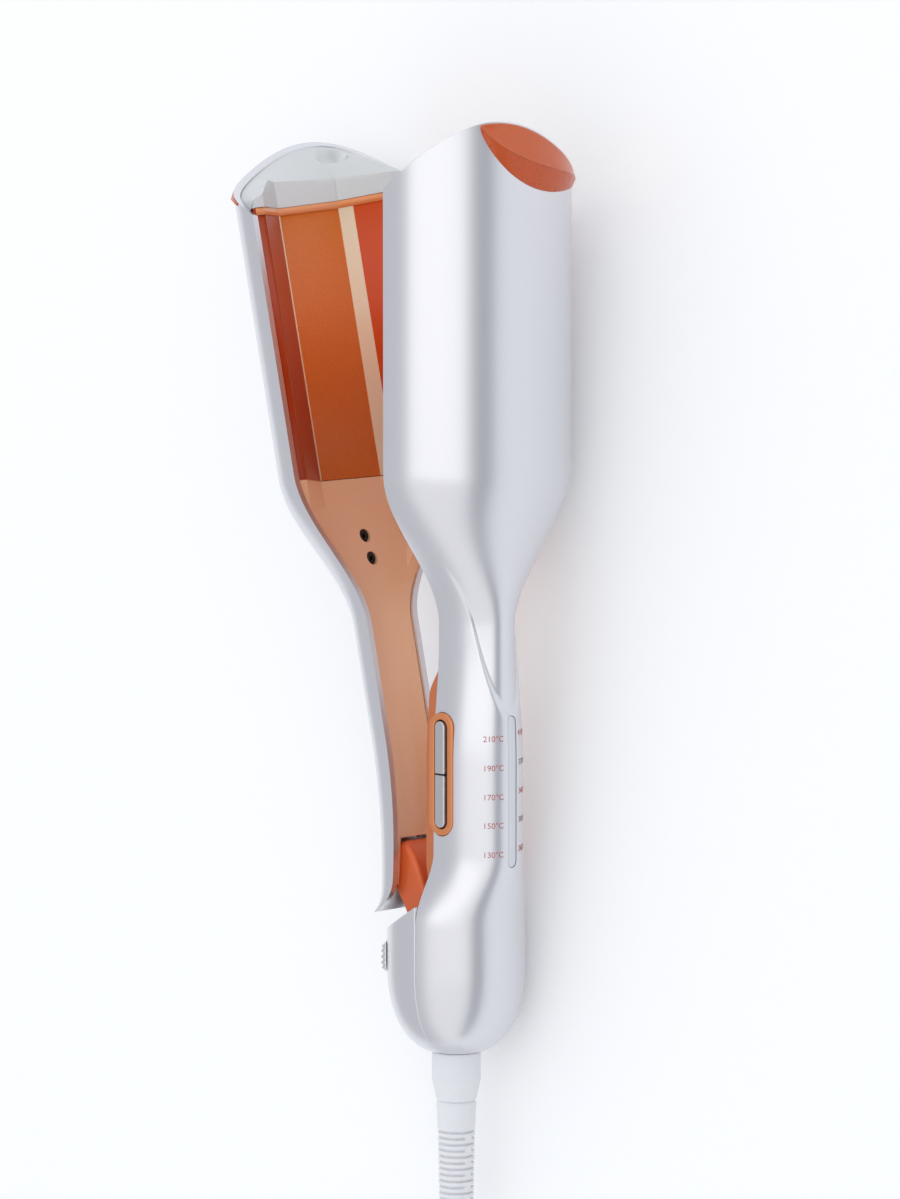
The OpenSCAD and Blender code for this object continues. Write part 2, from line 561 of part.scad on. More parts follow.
// ---- cord swivel
module foot_ring(r0, r1, y0, y1) translate([foot_x, y1, 0]) rotate([90, 0, 0]) difference() {
    cylinder(r = r1, h = y1 - y0, $fn = 64);
    translate([0, 0, -1]) cylinder(r = r0, h = y1 - y0 + 2, $fn = 64);
}
socket_y = [-36.8, -31];
module swivel_socket() color(white_plastic) rest() foot_ring(hub_r + 0.06, 9, socket_y[0],
                                                             socket_y[1]);
module swivel_brushes() color(brass) rest() for (y = [-25.4, -20.4])
    box([foot_x - 4, foot_x + 4], [y - 0.9, y + 0.9], [6.3, 6.8]);
module swivel_rings() color(brass) rest() for (y = [-25.4, -20.4])
    foot_ring(4.64, 6, y - 1.2, y + 1.2);
module swivel_collar() color(white_plastic) rest() {
    translate([foot_x, 0, 0]) rotate([-90, 0, 0]) rotate_extrude($fn = 96) polygon([
        [4.03, relief_y - 2], [6.8, relief_y - 2], [7.2, relief_y + 0.4],
        [collar_r - 0.4, relief_y + 3.4], [collar_r, relief_y + 5], [collar_r, shell_end - 1.1],
        [collar_r - 0.6, shell_end - 0.5], [hub_r, shell_end - 0.5], [hub_r, -30.7],
        [7.6, -30.7], [7.6, -29], [4.6, -28], [4.6, -18.6], [2.4, -18.6], [2.4, stem_y],
        [4.03, stem_y]]);
}
// slits alternate between whole rings and pairs of half arcs, as on a flexing sleeve
relief_pitch = 4.2;
stem_y = -42;
module strain_relief() color(white_plastic) rest() translate([foot_x, 0, 0]) rotate([90, 0, 0])
    difference() {
        rotate_extrude($fn = 72) polygon([
            [2.4, -stem_y + 0.1], [2.4, -cord_y], [4.2, -cord_y], [relief_r - 0.5, -cord_y - 6],
            [relief_r, -relief_y + 14], [6.75, -relief_y + 2.1], [4, -relief_y + 2.1],
            [4, -stem_y + 0.1]]);
        for (i = [0 : 5]) translate([0, 0, -relief_y + 13 + i * relief_pitch]) difference() {
            cylinder(r = 8, h = 1, $fn = 48);
            translate([0, 0, -1]) cylinder(r = 4.6, h = 3, $fn = 48);
            translate([-8, -1, -1]) cube([16, 2, 3]);
        }
    }

// ---- lever arm
module lever_shell() color(silver) opened() difference() {
    union() {
        skin_open(concat([for (y = lever_ys) lever_ring(y)], [at_tip(lever_ring(shoulder_y + 3), -1)]));
        for (y = liner_screws) screw_at(y) translate([0, 0, 1.35])
            cylinder(r = 2.6, h = screw_x(y) - lever_back(y) - wall - 1.1, $fn = 32);
    }
    for (y = liner_screws) screw_at(y) cylinder(d = 2.42, h = 8, $fn = 24);
}
trough_half = barrel_half - lip_w;
function recess_part(y) = smooth((y - 112) / (plate_y - 112));
function liner_half(y, depth) = (lever_half(y) - wall)
    * sqrt(1 - pow(depth / (lever_rim(y) - lever_back(y) - wall), 2)) - slack;
function liner_ring(y) = let (
    r = lever_rim(y) - 1, h = liner_half(y, 1), k = liner_half(y, 4), b = recess_part(y), t = 1.8,
    f = mix(h * 0.82, trough_half, b), d = mix(1.8, trough_depth - 1, b),
    g = mix(h * 0.5, floor_w / 2, b))
    tray([[r - 3, k], [r, h], [r, f], [r - d, g]],
         [[r - 3, k - t * 0.7], [r - t - 0.3, k - t * 0.8], [r - t, min(f, k - t) - 0.8],
          [r - d - t, g - 0.9]], y);
liner_low = 19;
module lever_frame() color(copper) opened() difference() {
    union() {
        skin_open(back([for (y = steps(liner_low, plate_y, 28)) liner_ring(y)]));
        for (y = liner_screws) screw_at(y) translate([0, 0, -1.6]) cylinder(r = 3.3, h = 2.8, $fn = 32);
    }
    translate([0, 0, -arm_z - 0.2]) linear_extrude(2 * arm_z + 0.4)
        polygon([[-40, 10], [-40, 36], [-hinge_x - 3, 34.3], [0, 27], [0, 10]]);
    for (y = liner_screws) screw_at(y) {
        cylinder(d = 2.6, h = 12, $fn = 24);
        translate([0, 0, -9]) cylinder(d = 4.8, h = 9, $fn = 32);
    }
}
// depth of the plate's back face at the inner edge of its rails
rail_in = 3.45 + 3.6 * (trough_depth - 1.2) / (trough_half - floor_w / 2 - 0.5);
module lever_rails() color(copper) opened() below(plate_top, -1) both_sides()
    along_y(plate_y + 4, plate_top + 8) polygon([
        [-rim_gap - 1.07, barrel_half - wall - slack - 0.06],
        [-rim_gap - 1.07, trough_half + 0.2], [-rim_gap - 4.03, trough_half + 0.2],
        [-rim_gap - rail_in, trough_half - 3.6], [-rim_gap - rail_in - 1.2, trough_half - 3.6],
        [-rim_gap - rail_in - 1.2, (barrel_half - wall)
            * sqrt(1 - pow((rail_in + 1.2) / (lever_depth - wall), 2)) - 0.5]]);
// two recessed screws hold the lever's frame to posts inside its shell
liner_screws = [130, 138];
function screw_x(y) = lever_rim(y) - 1 - mix(1.8, trough_depth - 1, recess_part(y)) - 2.4;
module screw_at(y) translate([screw_x(y), y, 0]) rotate([0, -90, 0]) children();
function trough_x(z) = -rim_gap - mix(0.6, trough_depth,
    min(1, max(0, (trough_half - abs(z)) / (trough_half - floor_w / 2))));
lever_cap_back = cap_arc(-rim_gap, lever_depth - cap_gap, barrel_half - cap_gap, 100, 260);
lever_cap_line = concat(lever_cap_back, back([for (p = lever_cap_back) [trough_x(p[1]), p[1]]]));
function trough_end(z) = tip_y + trough_rise - 7.5 * smooth((z - 19) / 18);
lever_cap_low = [for (p = lever_cap_line) [p[0], plate_top + 0.1 - plate_lean * p[1], p[1]]];
lever_cap_top = concat(
    [for (p = lever_cap_back) [p[0], tip_edge(p[0], p[1], -1) - 0.4, p[1]]],
    back([for (p = lever_cap_back) [trough_x(p[1]), trough_end(p[1]), p[1]]]));
module lever_end_cap() color(silver) opened() skin_open([lever_cap_low, lever_cap_top]);
module lever_accent() color(accent_orange) opened()
    lens(-rim_gap, lever_depth, barrel_half, -1);
module lever_plate() color(copper) opened() below(plate_top, -1)
    along_y(plate_y + 0.2, plate_top + 8) {
    polygon(mirrored([[-rim_gap - trough_depth - plate_t, floor_w / 2 + 0.5],
                      [-rim_gap - 1.2 - plate_t, trough_half], [-rim_gap - 1, trough_half],
                      [-rim_gap - trough_depth, floor_w / 2]]));
    channel(-rim_gap - trough_depth - plate_t, -1);
}
module lever_heater() color(white_plastic) opened()
    heater_bar(-rim_gap - trough_depth - plate_t, -1);
module lever_heater_clip() color(steel) opened()
    heater_leaf(-rim_gap - trough_depth - plate_t, -1);
module lever_sensor() color("#7a3b2a") opened()
    translate([-rim_gap - trough_depth - plate_t - heater_t - 1.45, plate_y + 8.4, 0]) sensor();
function beside(x, y, z) = [x - (trough_depth - 8) * recess_part(y), y, z];
lever_lead_route = [[-19.4, 34, 5], [-17.6, 46, 5], [-15.6, 60, 5.4], [-15.5, 100, 6],
                    beside(-17.5, 128, 7), beside(-20.2, plate_y - 8, 7.2), beside(-19.4, plate_y + 6, 7),
                    beside(-18.1, plate_y + 11.8, 7)];
module lever_leads() color("#b03a2e") opened() both_sides() sweep(lever_lead_route, 0.7, 8);
module lever_screws() color(steel) opened() for (y = liner_screws) screw_at(y) screw_z(6);

// ---- mains cord, coil and plug
coil_at = [-20, -252, 0];
coil_in = 24.2;
coil_turns = 3.5;
coil_pitch = 6.05;
coil_out = coil_in + coil_turns * coil_pitch;
coil_lift = 0.5;
exit = rested([foot_x, cord_y, 0]);
run_in = [rested([foot_x, cord_y - 8, 0]), [exit[0], exit[1] - 16, 10.6],
          [exit[0], exit[1] - 26, 8], [exit[0] + 1, exit[1] - 36, 5.6], [25.4, exit[1] - 48, 4]];
cord_route = concat([exit], run_in, [[coil_at[0] + coil_out, coil_at[1], cord_d / 2 + coil_lift]]);
plug_at = [-22, coil_at[1] - 74, 7];
tail_route = [[coil_at[0] + coil_out - 2, coil_at[1], 9.4], [24, coil_at[1] - 16, 9.2],
              [19, coil_at[1] - 34, 8.6], [11, coil_at[1] - 52, 7.8], [-1, coil_at[1] - 67, 7.2],
              [-14, coil_at[1] - 73.6, 7], plug_at + [3, 0, 0], plug_at];
module cord() color(white_plastic) sweep(cord_route, cord_d / 2, 10);
module cord_coil() color(white_plastic) translate([coil_at[0], coil_at[1], coil_lift])
    rotate_extrude($fn = 72) translate([coil_in - cord_d / 2, 0])
        square([coil_out - coil_in + cord_d, 2 * cord_d]);
module cord_tail() color(white_plastic) sweep(tail_route, cord_d / 2, 10);
module cord_tie() color(dark) translate([coil_at[0] - (coil_in + coil_out) / 2, coil_at[1], 0])
    rotate([90, 0, 0]) translate([0, 0, -4]) linear_extrude(8) difference() {
        w = (coil_out - coil_in + cord_d) / 2;
        translate([-w - 1.3, 0]) square([2 * w + 2.8, 2 * cord_d + coil_lift + 1]);
        translate([-w - 0.5, coil_lift - 0.1]) square([2 * w + 1.2, 2 * cord_d + 0.2]);
    }
module plug_body() color(white_plastic) translate(plug_at) rotate([0, 0, 180]) {
    rotate([0, 90, 0]) cylinder(r1 = 4, r2 = 5.6, h = 12, $fn = 40);
    translate([12, 0, 0]) rotate([90, 0, 90]) linear_extrude(24) offset(r = 4, $fn = 32)
        square([35 - 8, 13.6 - 8], center = true);
}
module plug_pins() color(brass) translate(plug_at) rotate([0, 0, 180]) for (s = [-1, 1])
    translate([36, s * 9.3, 0]) rotate([0, 90, 0]) {
        cylinder(d = 4, h = 18, $fn = 40);
        translate([0, 0, 18]) cylinder(d1 = 4, d2 = 2.4, h = 1, $fn = 40);
    }

base_shell();
rear_cover();
base_frame();
base_rails();
base_end_cap();
base_accent();
base_plate();
base_heater();
base_heater_clip();
base_sensor();
base_leads();
button_bezel();
key_up();
key_down();
tact_switches();
circuit_board();
board_parts();
display_board();
display_lamps();
scale_window();
hinge_bracket();
hinge_pin();
hinge_washers();
return_spring();
lock_slider();
lock_detent();
hinge_screws();
board_screws();
swivel_socket();
swivel_brushes();
swivel_rings();
swivel_collar();
strain_relief();
lever_shell();
lever_frame();
lever_rails();
lever_end_cap();
lever_accent();
lever_plate();
lever_heater();
lever_heater_clip();
lever_sensor();
lever_leads();
lever_knuckle();
lever_screws();
cord();
cord_coil();
cord_tail();
cord_tie();
plug_body();
plug_pins();
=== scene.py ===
"""Dressed model of a deep wave hair waver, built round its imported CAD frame.

Sizes are in millimetres in the tool's own frame, as in the part's source: X points out of the
fixed arm, Y runs from the hinge to the tips, and Z is up, the side of the keys. Meshes are turned
into the row frame, in metres, as they are made.
"""

from __future__ import annotations

import json
import logging
import math
from dataclasses import dataclass, field, replace
from enum import Enum
from typing import Callable, Sequence

import bpy
import numpy as np
from mathutils import Matrix, Vector

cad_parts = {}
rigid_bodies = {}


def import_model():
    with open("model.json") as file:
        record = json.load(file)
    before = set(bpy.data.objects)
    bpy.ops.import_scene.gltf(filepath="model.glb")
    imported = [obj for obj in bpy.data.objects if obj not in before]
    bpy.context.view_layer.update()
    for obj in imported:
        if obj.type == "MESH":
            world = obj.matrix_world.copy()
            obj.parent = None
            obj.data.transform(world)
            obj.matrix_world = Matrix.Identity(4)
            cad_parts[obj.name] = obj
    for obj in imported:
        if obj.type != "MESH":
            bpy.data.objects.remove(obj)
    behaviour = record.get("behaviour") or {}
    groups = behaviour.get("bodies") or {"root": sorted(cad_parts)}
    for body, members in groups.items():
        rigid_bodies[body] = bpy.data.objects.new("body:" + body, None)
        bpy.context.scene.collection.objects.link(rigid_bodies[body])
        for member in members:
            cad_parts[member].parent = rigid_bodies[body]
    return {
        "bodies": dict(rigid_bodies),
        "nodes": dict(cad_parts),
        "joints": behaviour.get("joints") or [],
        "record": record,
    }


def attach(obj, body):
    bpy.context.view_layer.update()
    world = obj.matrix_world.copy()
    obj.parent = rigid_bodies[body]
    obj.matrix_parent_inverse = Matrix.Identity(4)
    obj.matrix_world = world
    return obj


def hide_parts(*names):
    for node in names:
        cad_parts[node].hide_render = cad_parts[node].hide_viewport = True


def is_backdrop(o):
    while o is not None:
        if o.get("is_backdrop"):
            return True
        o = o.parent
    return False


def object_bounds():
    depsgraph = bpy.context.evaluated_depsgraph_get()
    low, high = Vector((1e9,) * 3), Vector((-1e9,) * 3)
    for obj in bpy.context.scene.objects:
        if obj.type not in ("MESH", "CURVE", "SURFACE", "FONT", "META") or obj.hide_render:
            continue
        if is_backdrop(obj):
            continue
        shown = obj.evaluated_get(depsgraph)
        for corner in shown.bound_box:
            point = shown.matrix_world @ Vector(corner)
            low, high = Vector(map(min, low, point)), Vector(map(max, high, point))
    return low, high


LOG = logging.getLogger("hair_waver")
MM = 0.001
# How deep light goes into the soft and the frosted plastics.
DEPTH_MM = 2.0
# A rounded corner takes at most this share of each side, so that two never meet.
SIDE_SHARE = 1 / 2.05

Array = np.ndarray


class Arm(Enum):
    """The CAD body that a piece is drawn for."""

    FIXED = "fixed_arm"
    LEVER = "lever_arm"
    RAISE = "key_raise"
    LOWER = "key_lower"
    LOCK = "lock"
    SWIVEL = "swivel"


# ---------------------------------------------------------------------------------------------
# Small mathematics


def smooth(t: Array | float) -> Array:
    """The s-shaped step 3t^2 - 2t^3, held at 0 and 1 outside its range."""
    c = np.clip(t, 0.0, 1.0)
    return c * c * (3 - 2 * c)


def mix(a: Array | float, b: Array | float, t: Array | float) -> Array | float:
    """The value a fraction t of the way from a to b."""
    return a + (b - a) * t


def srgb(text: str) -> tuple[float, float, float, float]:
    """Turns an sRGB hex colour into linear light.

    Args:
        text: six hexadecimal digits after a hash.

    Returns:
        Red, green, blue and an alpha of one.
    """
    parts = np.array([int(text[i:i + 2], 16) / 255 for i in (1, 3, 5)])
    linear = np.where(parts <= 0.04045, parts / 12.92, ((parts + 0.055) / 1.055) ** 2.4)
    return (*[float(c) for c in linear], 1.0)


# ---------------------------------------------------------------------------------------------
# Placement and the arms' profiles


class Placement:
    """Turns points of the tool frame into the row frame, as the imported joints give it."""

    def __init__(self, record: dict) -> None:
        """Reads the jaw's hinge from the record: its axis gives the tilt, its place the shift.

        Args:
            record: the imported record.
        """
        jaw = next(j for j in record["behaviour"]["joints"] if j["name"] == "jaw")
        axis = jaw["axis"]
        self.tilt = math.atan2(axis[1], -axis[2])
        self.shift = np.array(jaw["pos_m"]) / MM + np.array([Form.hinge_x, 0.0, 0.0])

    def __call__(self, points: Array, arm: Arm = Arm.FIXED) -> Array:
        """Places points of one arm on the table.

        Args:
            points: positions in millimetres, any shape ending in three, drawn with the jaw closed.
            arm: the arm that carries them; the lever's are first turned open about its pin.

        Returns:
            The same positions in the row frame, in metres.
        """
        p = np.asarray(points, dtype=float)
        if arm is Arm.LEVER:
            p = turn(p, Form.open_angle, (-Form.hinge_x, 0.0))
        c, s = math.cos(self.tilt), math.sin(self.tilt)
        y = p[..., 1] * c - p[..., 2] * s
        z = p[..., 1] * s + p[..., 2] * c
        return (np.stack([p[..., 0], y, z], axis=-1) + self.shift) * MM


def turn(points: Array, degrees: float, centre: tuple[float, float]) -> Array:
    """Turns points about a line parallel to Z.

    Args:
        points: positions, any shape ending in three.
        degrees: the angle, positive from X towards Y.
        centre: where the line meets the XY plane.

    Returns:
        The turned positions.
    """
    c, s = math.cos(math.radians(degrees)), math.sin(math.radians(degrees))
    x, y = points[..., 0] - centre[0], points[..., 1] - centre[1]
    x, y = centre[0] + c * x - s * y, centre[1] + s * x + c * y
    return np.stack([x, y, points[..., 2]], axis=-1)


@dataclass(frozen=True)
class Form:
    """The sizes that both arms share, and the curves that their sections follow along Y."""

    barrel_half: float = 38.0
    base_depth: float = 33.0
    lever_depth: float = 26.0
    tip_y: float = 251.0
    tip_slope: float = 0.74
    tip_wave: float = 6.6
    wave_half: float = 27.0
    rim_gap: float = 7.0
    wall: float = 2.2
    plate_y: float = 158.0
    plate_top: float = 253.0
    ridge_top: float = 240.0
    plate_lean: float = 0.06
    trough_depth: float = 12.5
    floor_half: float = 14.0
    trough_half: float = 31.5
    hair_gap: float = 1.6
    grip_half: float = 14.8
    grip_out: float = 23.0
    neck_half: float = 12.2
    neck_out: float = 21.5
    frame_face: float = 4.3
    swell: float = 0.9
    foot_r: float = 23.4
    foot_x: float = -3.5
    lever_out: float = 24.5
    hinge_x: float = 12.0
    open_angle: float = 12.8
    shoulder_y: float = 160.0
    neck_y: float = 108.0
    grip_y: float = 62.0
    foot_top: float = 31.0
    foot_full: float = 7.0
    dome_y: float = -8.0
    dome_h: float = 32.0
    dome_power: float = 2.4
    shell_end: float = -38.0
    lever_end: float = 11.0
    lever_bow: float = 70.0
    bow_run: float = 60.0
    hook_y: float = 22.0
    hook_run: float = 11.0
    hook_out: float = 8.0
    rim_run: float = 50.0
    rim_sink: float = 3.0
    rim_bow: float = 12.0
    back_bow: float = 9.0
    half_bow: float = 1.2
    side_drop: float = 1.1
    grip_mid: float = 4.0
    barrel_mid: float = 2.0
    neck_run: float = 40.0
    tip_drop: float = 0.36
    level_top: float = 162.0
    plate_gap: float = 0.25
    cap_gap: float = 2.3
    lock_angle: float = 30.0

    @property
    def ridge_x(self) -> float:
        """How far the fixed plate's ridge stands out from the rim."""
        return self.rim_gap + self.trough_depth - self.hair_gap

    @property
    def side_x(self) -> float:
        """How far the sides of the fixed plate's ridge start out from the rim."""
        return self.rim_gap - self.side_drop

    def barrel_part(self, y: Array) -> Array:
        """How much of the barrel's section there is at y, from 0 on the neck to 1."""
        return smooth((y - self.neck_y) / (self.shoulder_y - self.neck_y))

    def neck_part(self, y: Array) -> Array:
        """How much of the neck's section there is at y."""
        return smooth((y - self.grip_y) / self.neck_run)

    def foot_part(self, y: Array) -> Array:
        """How much of the round foot's section there is at y."""
        return smooth((self.foot_top - y) / (self.foot_top - self.foot_full))

    def dome(self, y: Array) -> Array:
        """The foot's closing curve, a superellipse quarter with a power of 2.4."""
        t = np.clip((self.dome_y - y) / self.dome_h, 0, 1)
        return (1 - t ** self.dome_power) ** (1 / self.dome_power)

    def arm_half(self, y: Array) -> Array:
        """Half width of the fixed arm without its foot."""
        handle = mix(self.grip_half, self.neck_half, self.neck_part(y))
        return mix(handle, self.barrel_half, self.barrel_part(y))

    def base_half(self, y: Array) -> Array:
        """Half width of the fixed shell."""
        return mix(self.arm_half(y), self.foot_r, self.foot_part(y)) * self.dome(y)

    def base_mid(self, y: Array) -> Array:
        """Where the fixed shell's section has its centre, along X."""
        return mix(mix(self.grip_mid, self.barrel_mid, self.barrel_part(y)), self.foot_x,
                   self.foot_part(y))

    def base_reach(self, y: Array) -> Array:
        """Distance from the section's centre to the fixed shell's outer face.

        Args:
            y: stations.

        Returns:
            The section's half axis along X at each.
        """
        handle = mix(self.grip_out, self.neck_out, self.neck_part(y))
        out = mix(mix(handle, self.base_depth, self.barrel_part(y)),
                  self.foot_x + self.foot_r, self.foot_part(y))
        return (out - self.base_mid(y)) * self.dome(y)

    def bow(self, y: Array) -> Array:
        """How far the lever's handle bows outwards, a square law below its middle."""
        return np.clip((self.lever_bow - y) / self.bow_run, 0, None) ** 2

    def lever_rim(self, y: Array) -> Array:
        """X of the lever's rim plane with the jaw closed, hooked out at its lower end.

        Args:
            y: stations.

        Returns:
            The places along X.
        """
        hook = np.clip((self.hook_y - y) / self.hook_run, 0, None) ** 3
        sink = self.rim_sink * smooth((self.shoulder_y - y) / self.rim_run)
        return -self.rim_gap - sink - self.rim_bow * self.bow(y) - self.hook_out * hook

    def lever_back(self, y: Array) -> Array:
        """X of the lever's outer face with the jaw closed."""
        straight = mix(self.lever_out, self.rim_gap + self.lever_depth, self.barrel_part(y))
        return -straight - self.back_bow * self.bow(y)

    def lever_half(self, y: Array) -> Array:
        """Half width of the lever's shell."""
        handle = self.neck_half - self.half_bow * self.bow(y)
        return mix(handle, self.barrel_half, self.barrel_part(y))

    def tip_edge(self, x: Array, z: Array, side: int) -> Array:
        """Height of a tip's edge.

        It climbs by the slope for each millimetre of depth, and a sine wave of z is added, which
        turns over between the two arms.

        Args:
            x: depth coordinate.
            z: position across the barrel.
            side: 1 for the fixed arm, -1 for the lever.

        Returns:
            The heights.
        """
        wave = np.sin(side * z / self.wave_half * math.pi / 2) - self.tip_drop
        return self.tip_y + self.tip_slope * np.abs(x) + self.tip_wave * wave


FORM = Form()


# ---------------------------------------------------------------------------------------------
# Mesh making


@dataclass
class Skin:
    """A surface as whole arrays: points, four-cornered faces and many-cornered end faces."""

    points: Array
    quads: Array
    ends: list[list[int]] = field(default_factory=list)

    def flipped_if_inside_out(self) -> "Skin":
        """Turns every face round if the signed volume under them is negative.

        Returns:
            The skin with its faces outwards.
        """
        p = self.points
        q = self.quads
        total = 0.0
        for a, b, c in ((0, 1, 2), (0, 2, 3)):
            normal = np.cross(p[q[:, b]], p[q[:, c]])
            total += float(np.einsum("ij,ij->i", p[q[:, a]], normal).sum())
        for face in self.ends:
            f = np.array(face)
            fan = np.cross(p[f[1:-1]], p[f[2:]])
            total += float((fan @ p[f[0]]).sum())
        if total < 0:
            return Skin(p, q[:, ::-1], [face[::-1] for face in self.ends])
        return self


def join_skins(skins: Sequence[Skin]) -> Skin:
    """Puts several closed skins into one, their faces renumbered.

    Args:
        skins: the skins, each turned to face outwards first.

    Returns:
        All of them together.
    """
    points, quads, ends, start = [], [], [], 0
    for s in (k.flipped_if_inside_out() for k in skins):
        points.append(s.points)
        quads.append(s.quads + start)
        ends += [[i + start for i in face] for face in s.ends]
        start += len(s.points)
    return Skin(np.concatenate(points), np.concatenate(quads), ends)


def grid_quads(rows: int, columns: int, round_u: bool = False, round_v: bool = True) -> Array:
    """Faces of a grid of points, row after row.

    Args:
        rows: how many rows of points.
        columns: how many points in a row.
        round_u: whether the last row joins the first.
        round_v: whether each row closes on itself.

    Returns:
        Corner numbers, four to a face.
    """
    i = np.arange(rows if round_u else rows - 1)[:, None]
    j = np.arange(columns if round_v else columns - 1)[None, :]
    k = (j + 1) % columns
    p, q = i * columns, ((i + 1) % rows) * columns
    return np.stack([p + j, p + k, q + k, q + j], axis=-1).reshape(-1, 4)


def tube_skin(rows: Array) -> Skin:
    """A loft of closed outlines whose two ends are one face each.

    Args:
        rows: the outlines, one to a row.

    Returns:
        The closed skin.
    """
    m, n = rows.shape[:2]
    ends = [list(range(n))[::-1], [(m - 1) * n + j for j in range(n)]]
    return Skin(rows.reshape(-1, 3), grid_quads(m, n), ends)


def wall_skin(rows: Array) -> Skin:
    """A loft of folded outlines: point j lies across the wall from point n-1-j.

    The ends are closed by a strip of faces across the wall, so they need not be flat.

    Args:
        rows: the outlines, one to a row.

    Returns:
        The closed skin.
    """
    m, n = rows.shape[:2]
    j = np.arange(n // 2 - 1)
    first = np.stack([j + 1, j, n - 1 - j, n - 2 - j], axis=-1)
    last = (m - 1) * n + np.stack([j, j + 1, n - 2 - j, n - 1 - j], axis=-1)
    return Skin(rows.reshape(-1, 3), np.concatenate([grid_quads(m, n), first, last]))


def revolve_skin(profile: Array, count: int = 96) -> Skin:
    """A closed profile of (radius, y) carried round the foot's axis.

    Args:
        profile: points of the closed outline.
        count: steps in the whole turn.

    Returns:
        A ring closed both ways.
    """
    a = np.linspace(0, 2 * math.pi, count, endpoint=False)[None, :]
    rows = round_foot(profile[:, 0:1], profile[:, 1:2], a)
    return Skin(rows.reshape(-1, 3), grid_quads(len(profile), count, round_u=True))


def round_foot(radius: Array, y: Array, angle: Array) -> Array:
    """Points at a radius and an angle about the foot's axis."""
    x, z = FORM.foot_x + radius * np.cos(angle), radius * np.sin(angle)
    return np.stack(np.broadcast_arrays(x, y, z), axis=-1)


def circle(radius: float, middle: tuple[float, float], count: int) -> Array:
    """Even points round a circle in a plane."""
    a = np.linspace(0, 2 * math.pi, count, endpoint=False)
    return np.array(middle) + radius * np.stack([np.cos(a), np.sin(a)], axis=-1)


def sides(p: Array) -> tuple[Array, Array, Array, Array]:
    """Looks from each corner of a closed outline along its two sides.

    Args:
        p: the corners.

    Returns:
        Unit directions to the corner before and to the one after, then the two lengths.
    """
    back, ahead = np.roll(p, 1, axis=0) - p, np.roll(p, -1, axis=0) - p
    lb, la = (np.linalg.norm(v, axis=1, keepdims=True) for v in (back, ahead))
    return back / lb, ahead / la, lb, la


def corner_curves(start: Array, corner: Array, end: Array, steps: int) -> Array:
    """Draws one outline of quadratic curves.

    Args:
        start: where each curve starts.
        corner: the corner that it is drawn to.
        end: where it ends.
        steps: points to a curve.

    Returns:
        The outline's points.
    """
    t = np.linspace(0, 1, steps)[None, :, None]
    curve = (start[:, None] * (1 - t) ** 2 + 2 * corner[:, None] * t * (1 - t)
             + end[:, None] * t ** 2)
    return curve.reshape(-1, corner.shape[1])


def rounded(profile: Sequence[Sequence[float]], radius: float, steps: int = 5) -> Array:
    """Rounds the corners of a closed outline with quadratic curves.

    Args:
        profile: the corners.
        radius: how far from each corner the curve starts, just under half a side at most.
        steps: points to a corner.

    Returns:
        The outline's points.
    """
    p = np.asarray(profile, dtype=float)
    back, ahead, lb, la = sides(p)
    start = p + back * np.minimum(radius, lb * SIDE_SHARE)
    return corner_curves(start, p, p + ahead * np.minimum(radius, la * SIDE_SHARE), steps)


def fillets(corners: Sequence[Sequence[float]], radii: Sequence[float], steps: int) -> Array:
    """Rounds each corner of a closed outline by its own radius.

    The curve starts at the radius times the tangent of half the corner's turn from the corner.

    Args:
        corners: the corners.
        radii: one radius for each.
        steps: points to a corner.

    Returns:
        The outline's points.
    """
    p = np.asarray(corners, dtype=float)
    back, ahead, lb, la = sides(p)
    inside = np.arccos(np.clip((back * ahead).sum(axis=1, keepdims=True), -1, 1))
    wanted = np.asarray(radii, dtype=float)[:, None] * np.tan((math.pi - inside) / 2)
    reach = np.minimum(wanted, np.minimum(lb, la) * SIDE_SHARE)
    return corner_curves(p + back * reach, p, p + ahead * reach, steps)


def extruded(outline: Array, low: float, high: float, axis: int, lean: float = 0.0) -> Skin:
    """A flat outline carried straight from low to high along one axis.

    Args:
        outline: points in the two other axes, in X, Y, Z order.
        low: where it starts.
        high: where it ends.
        axis: 1 for Y or 2 for Z.
        lean: rise of the upper end for each millimetre of the outline's second coordinate.

    Returns:
        The closed prism.
    """
    rows = [np.insert(outline, axis, at, axis=1) for at in (low, high)]
    rows[1][:, axis] += lean * outline[:, 1]
    return tube_skin(np.stack(rows))


def block_skin(line_a: Array, line_b: Array, low: Callable[[Array], Array],
               top: Callable[[Array, Array, Array], Array], steps: int = 15) -> Skin:
    """A block between two matching lines, with a smooth upper face that is a grid.

    The grid's points lie at even shares of the way from each point of one line to its partner.

    Args:
        line_a: x and z of the first line's points.
        line_b: the second line's points.
        low: height of the lower face by z.
        top: height of the upper face by x, z and the share of the way.
        steps: grid rows from line to line.

    Returns:
        The closed block.
    """
    share = np.linspace(0, 1, steps)[:, None, None]
    flat = mix(line_a[None], line_b[None], share)
    x, z = flat[..., 0], flat[..., 1]
    upper, lower = (np.stack([x, y, z], axis=-1) for y in (top(x, z, share[..., 0]), low(z)))
    rise = np.linspace(0, 1, 7)[1:-1, None, None]
    rows = np.concatenate([lower, mix(lower[-1:], upper[-1:], rise), upper[::-1],
                           mix(upper[:1], lower[:1], rise)])
    count = len(line_a)
    skin = Skin(rows.reshape(-1, 3), grid_quads(len(rows), count, round_u=True, round_v=False))
    first = [i * count for i in range(len(rows))]
    skin.ends = [first, [i + count - 1 for i in first][::-1]]
    return skin


def link_object(name: str, data: bpy.types.ID) -> bpy.types.Object:
    """Makes an object and links it to the scene.

    Args:
        name: the object's name.
        data: the mesh, lettering, lamp or camera that it shows.

    Returns:
        The object.
    """
    obj = bpy.data.objects.new(name, data)
    bpy.context.scene.collection.objects.link(obj)
    return obj


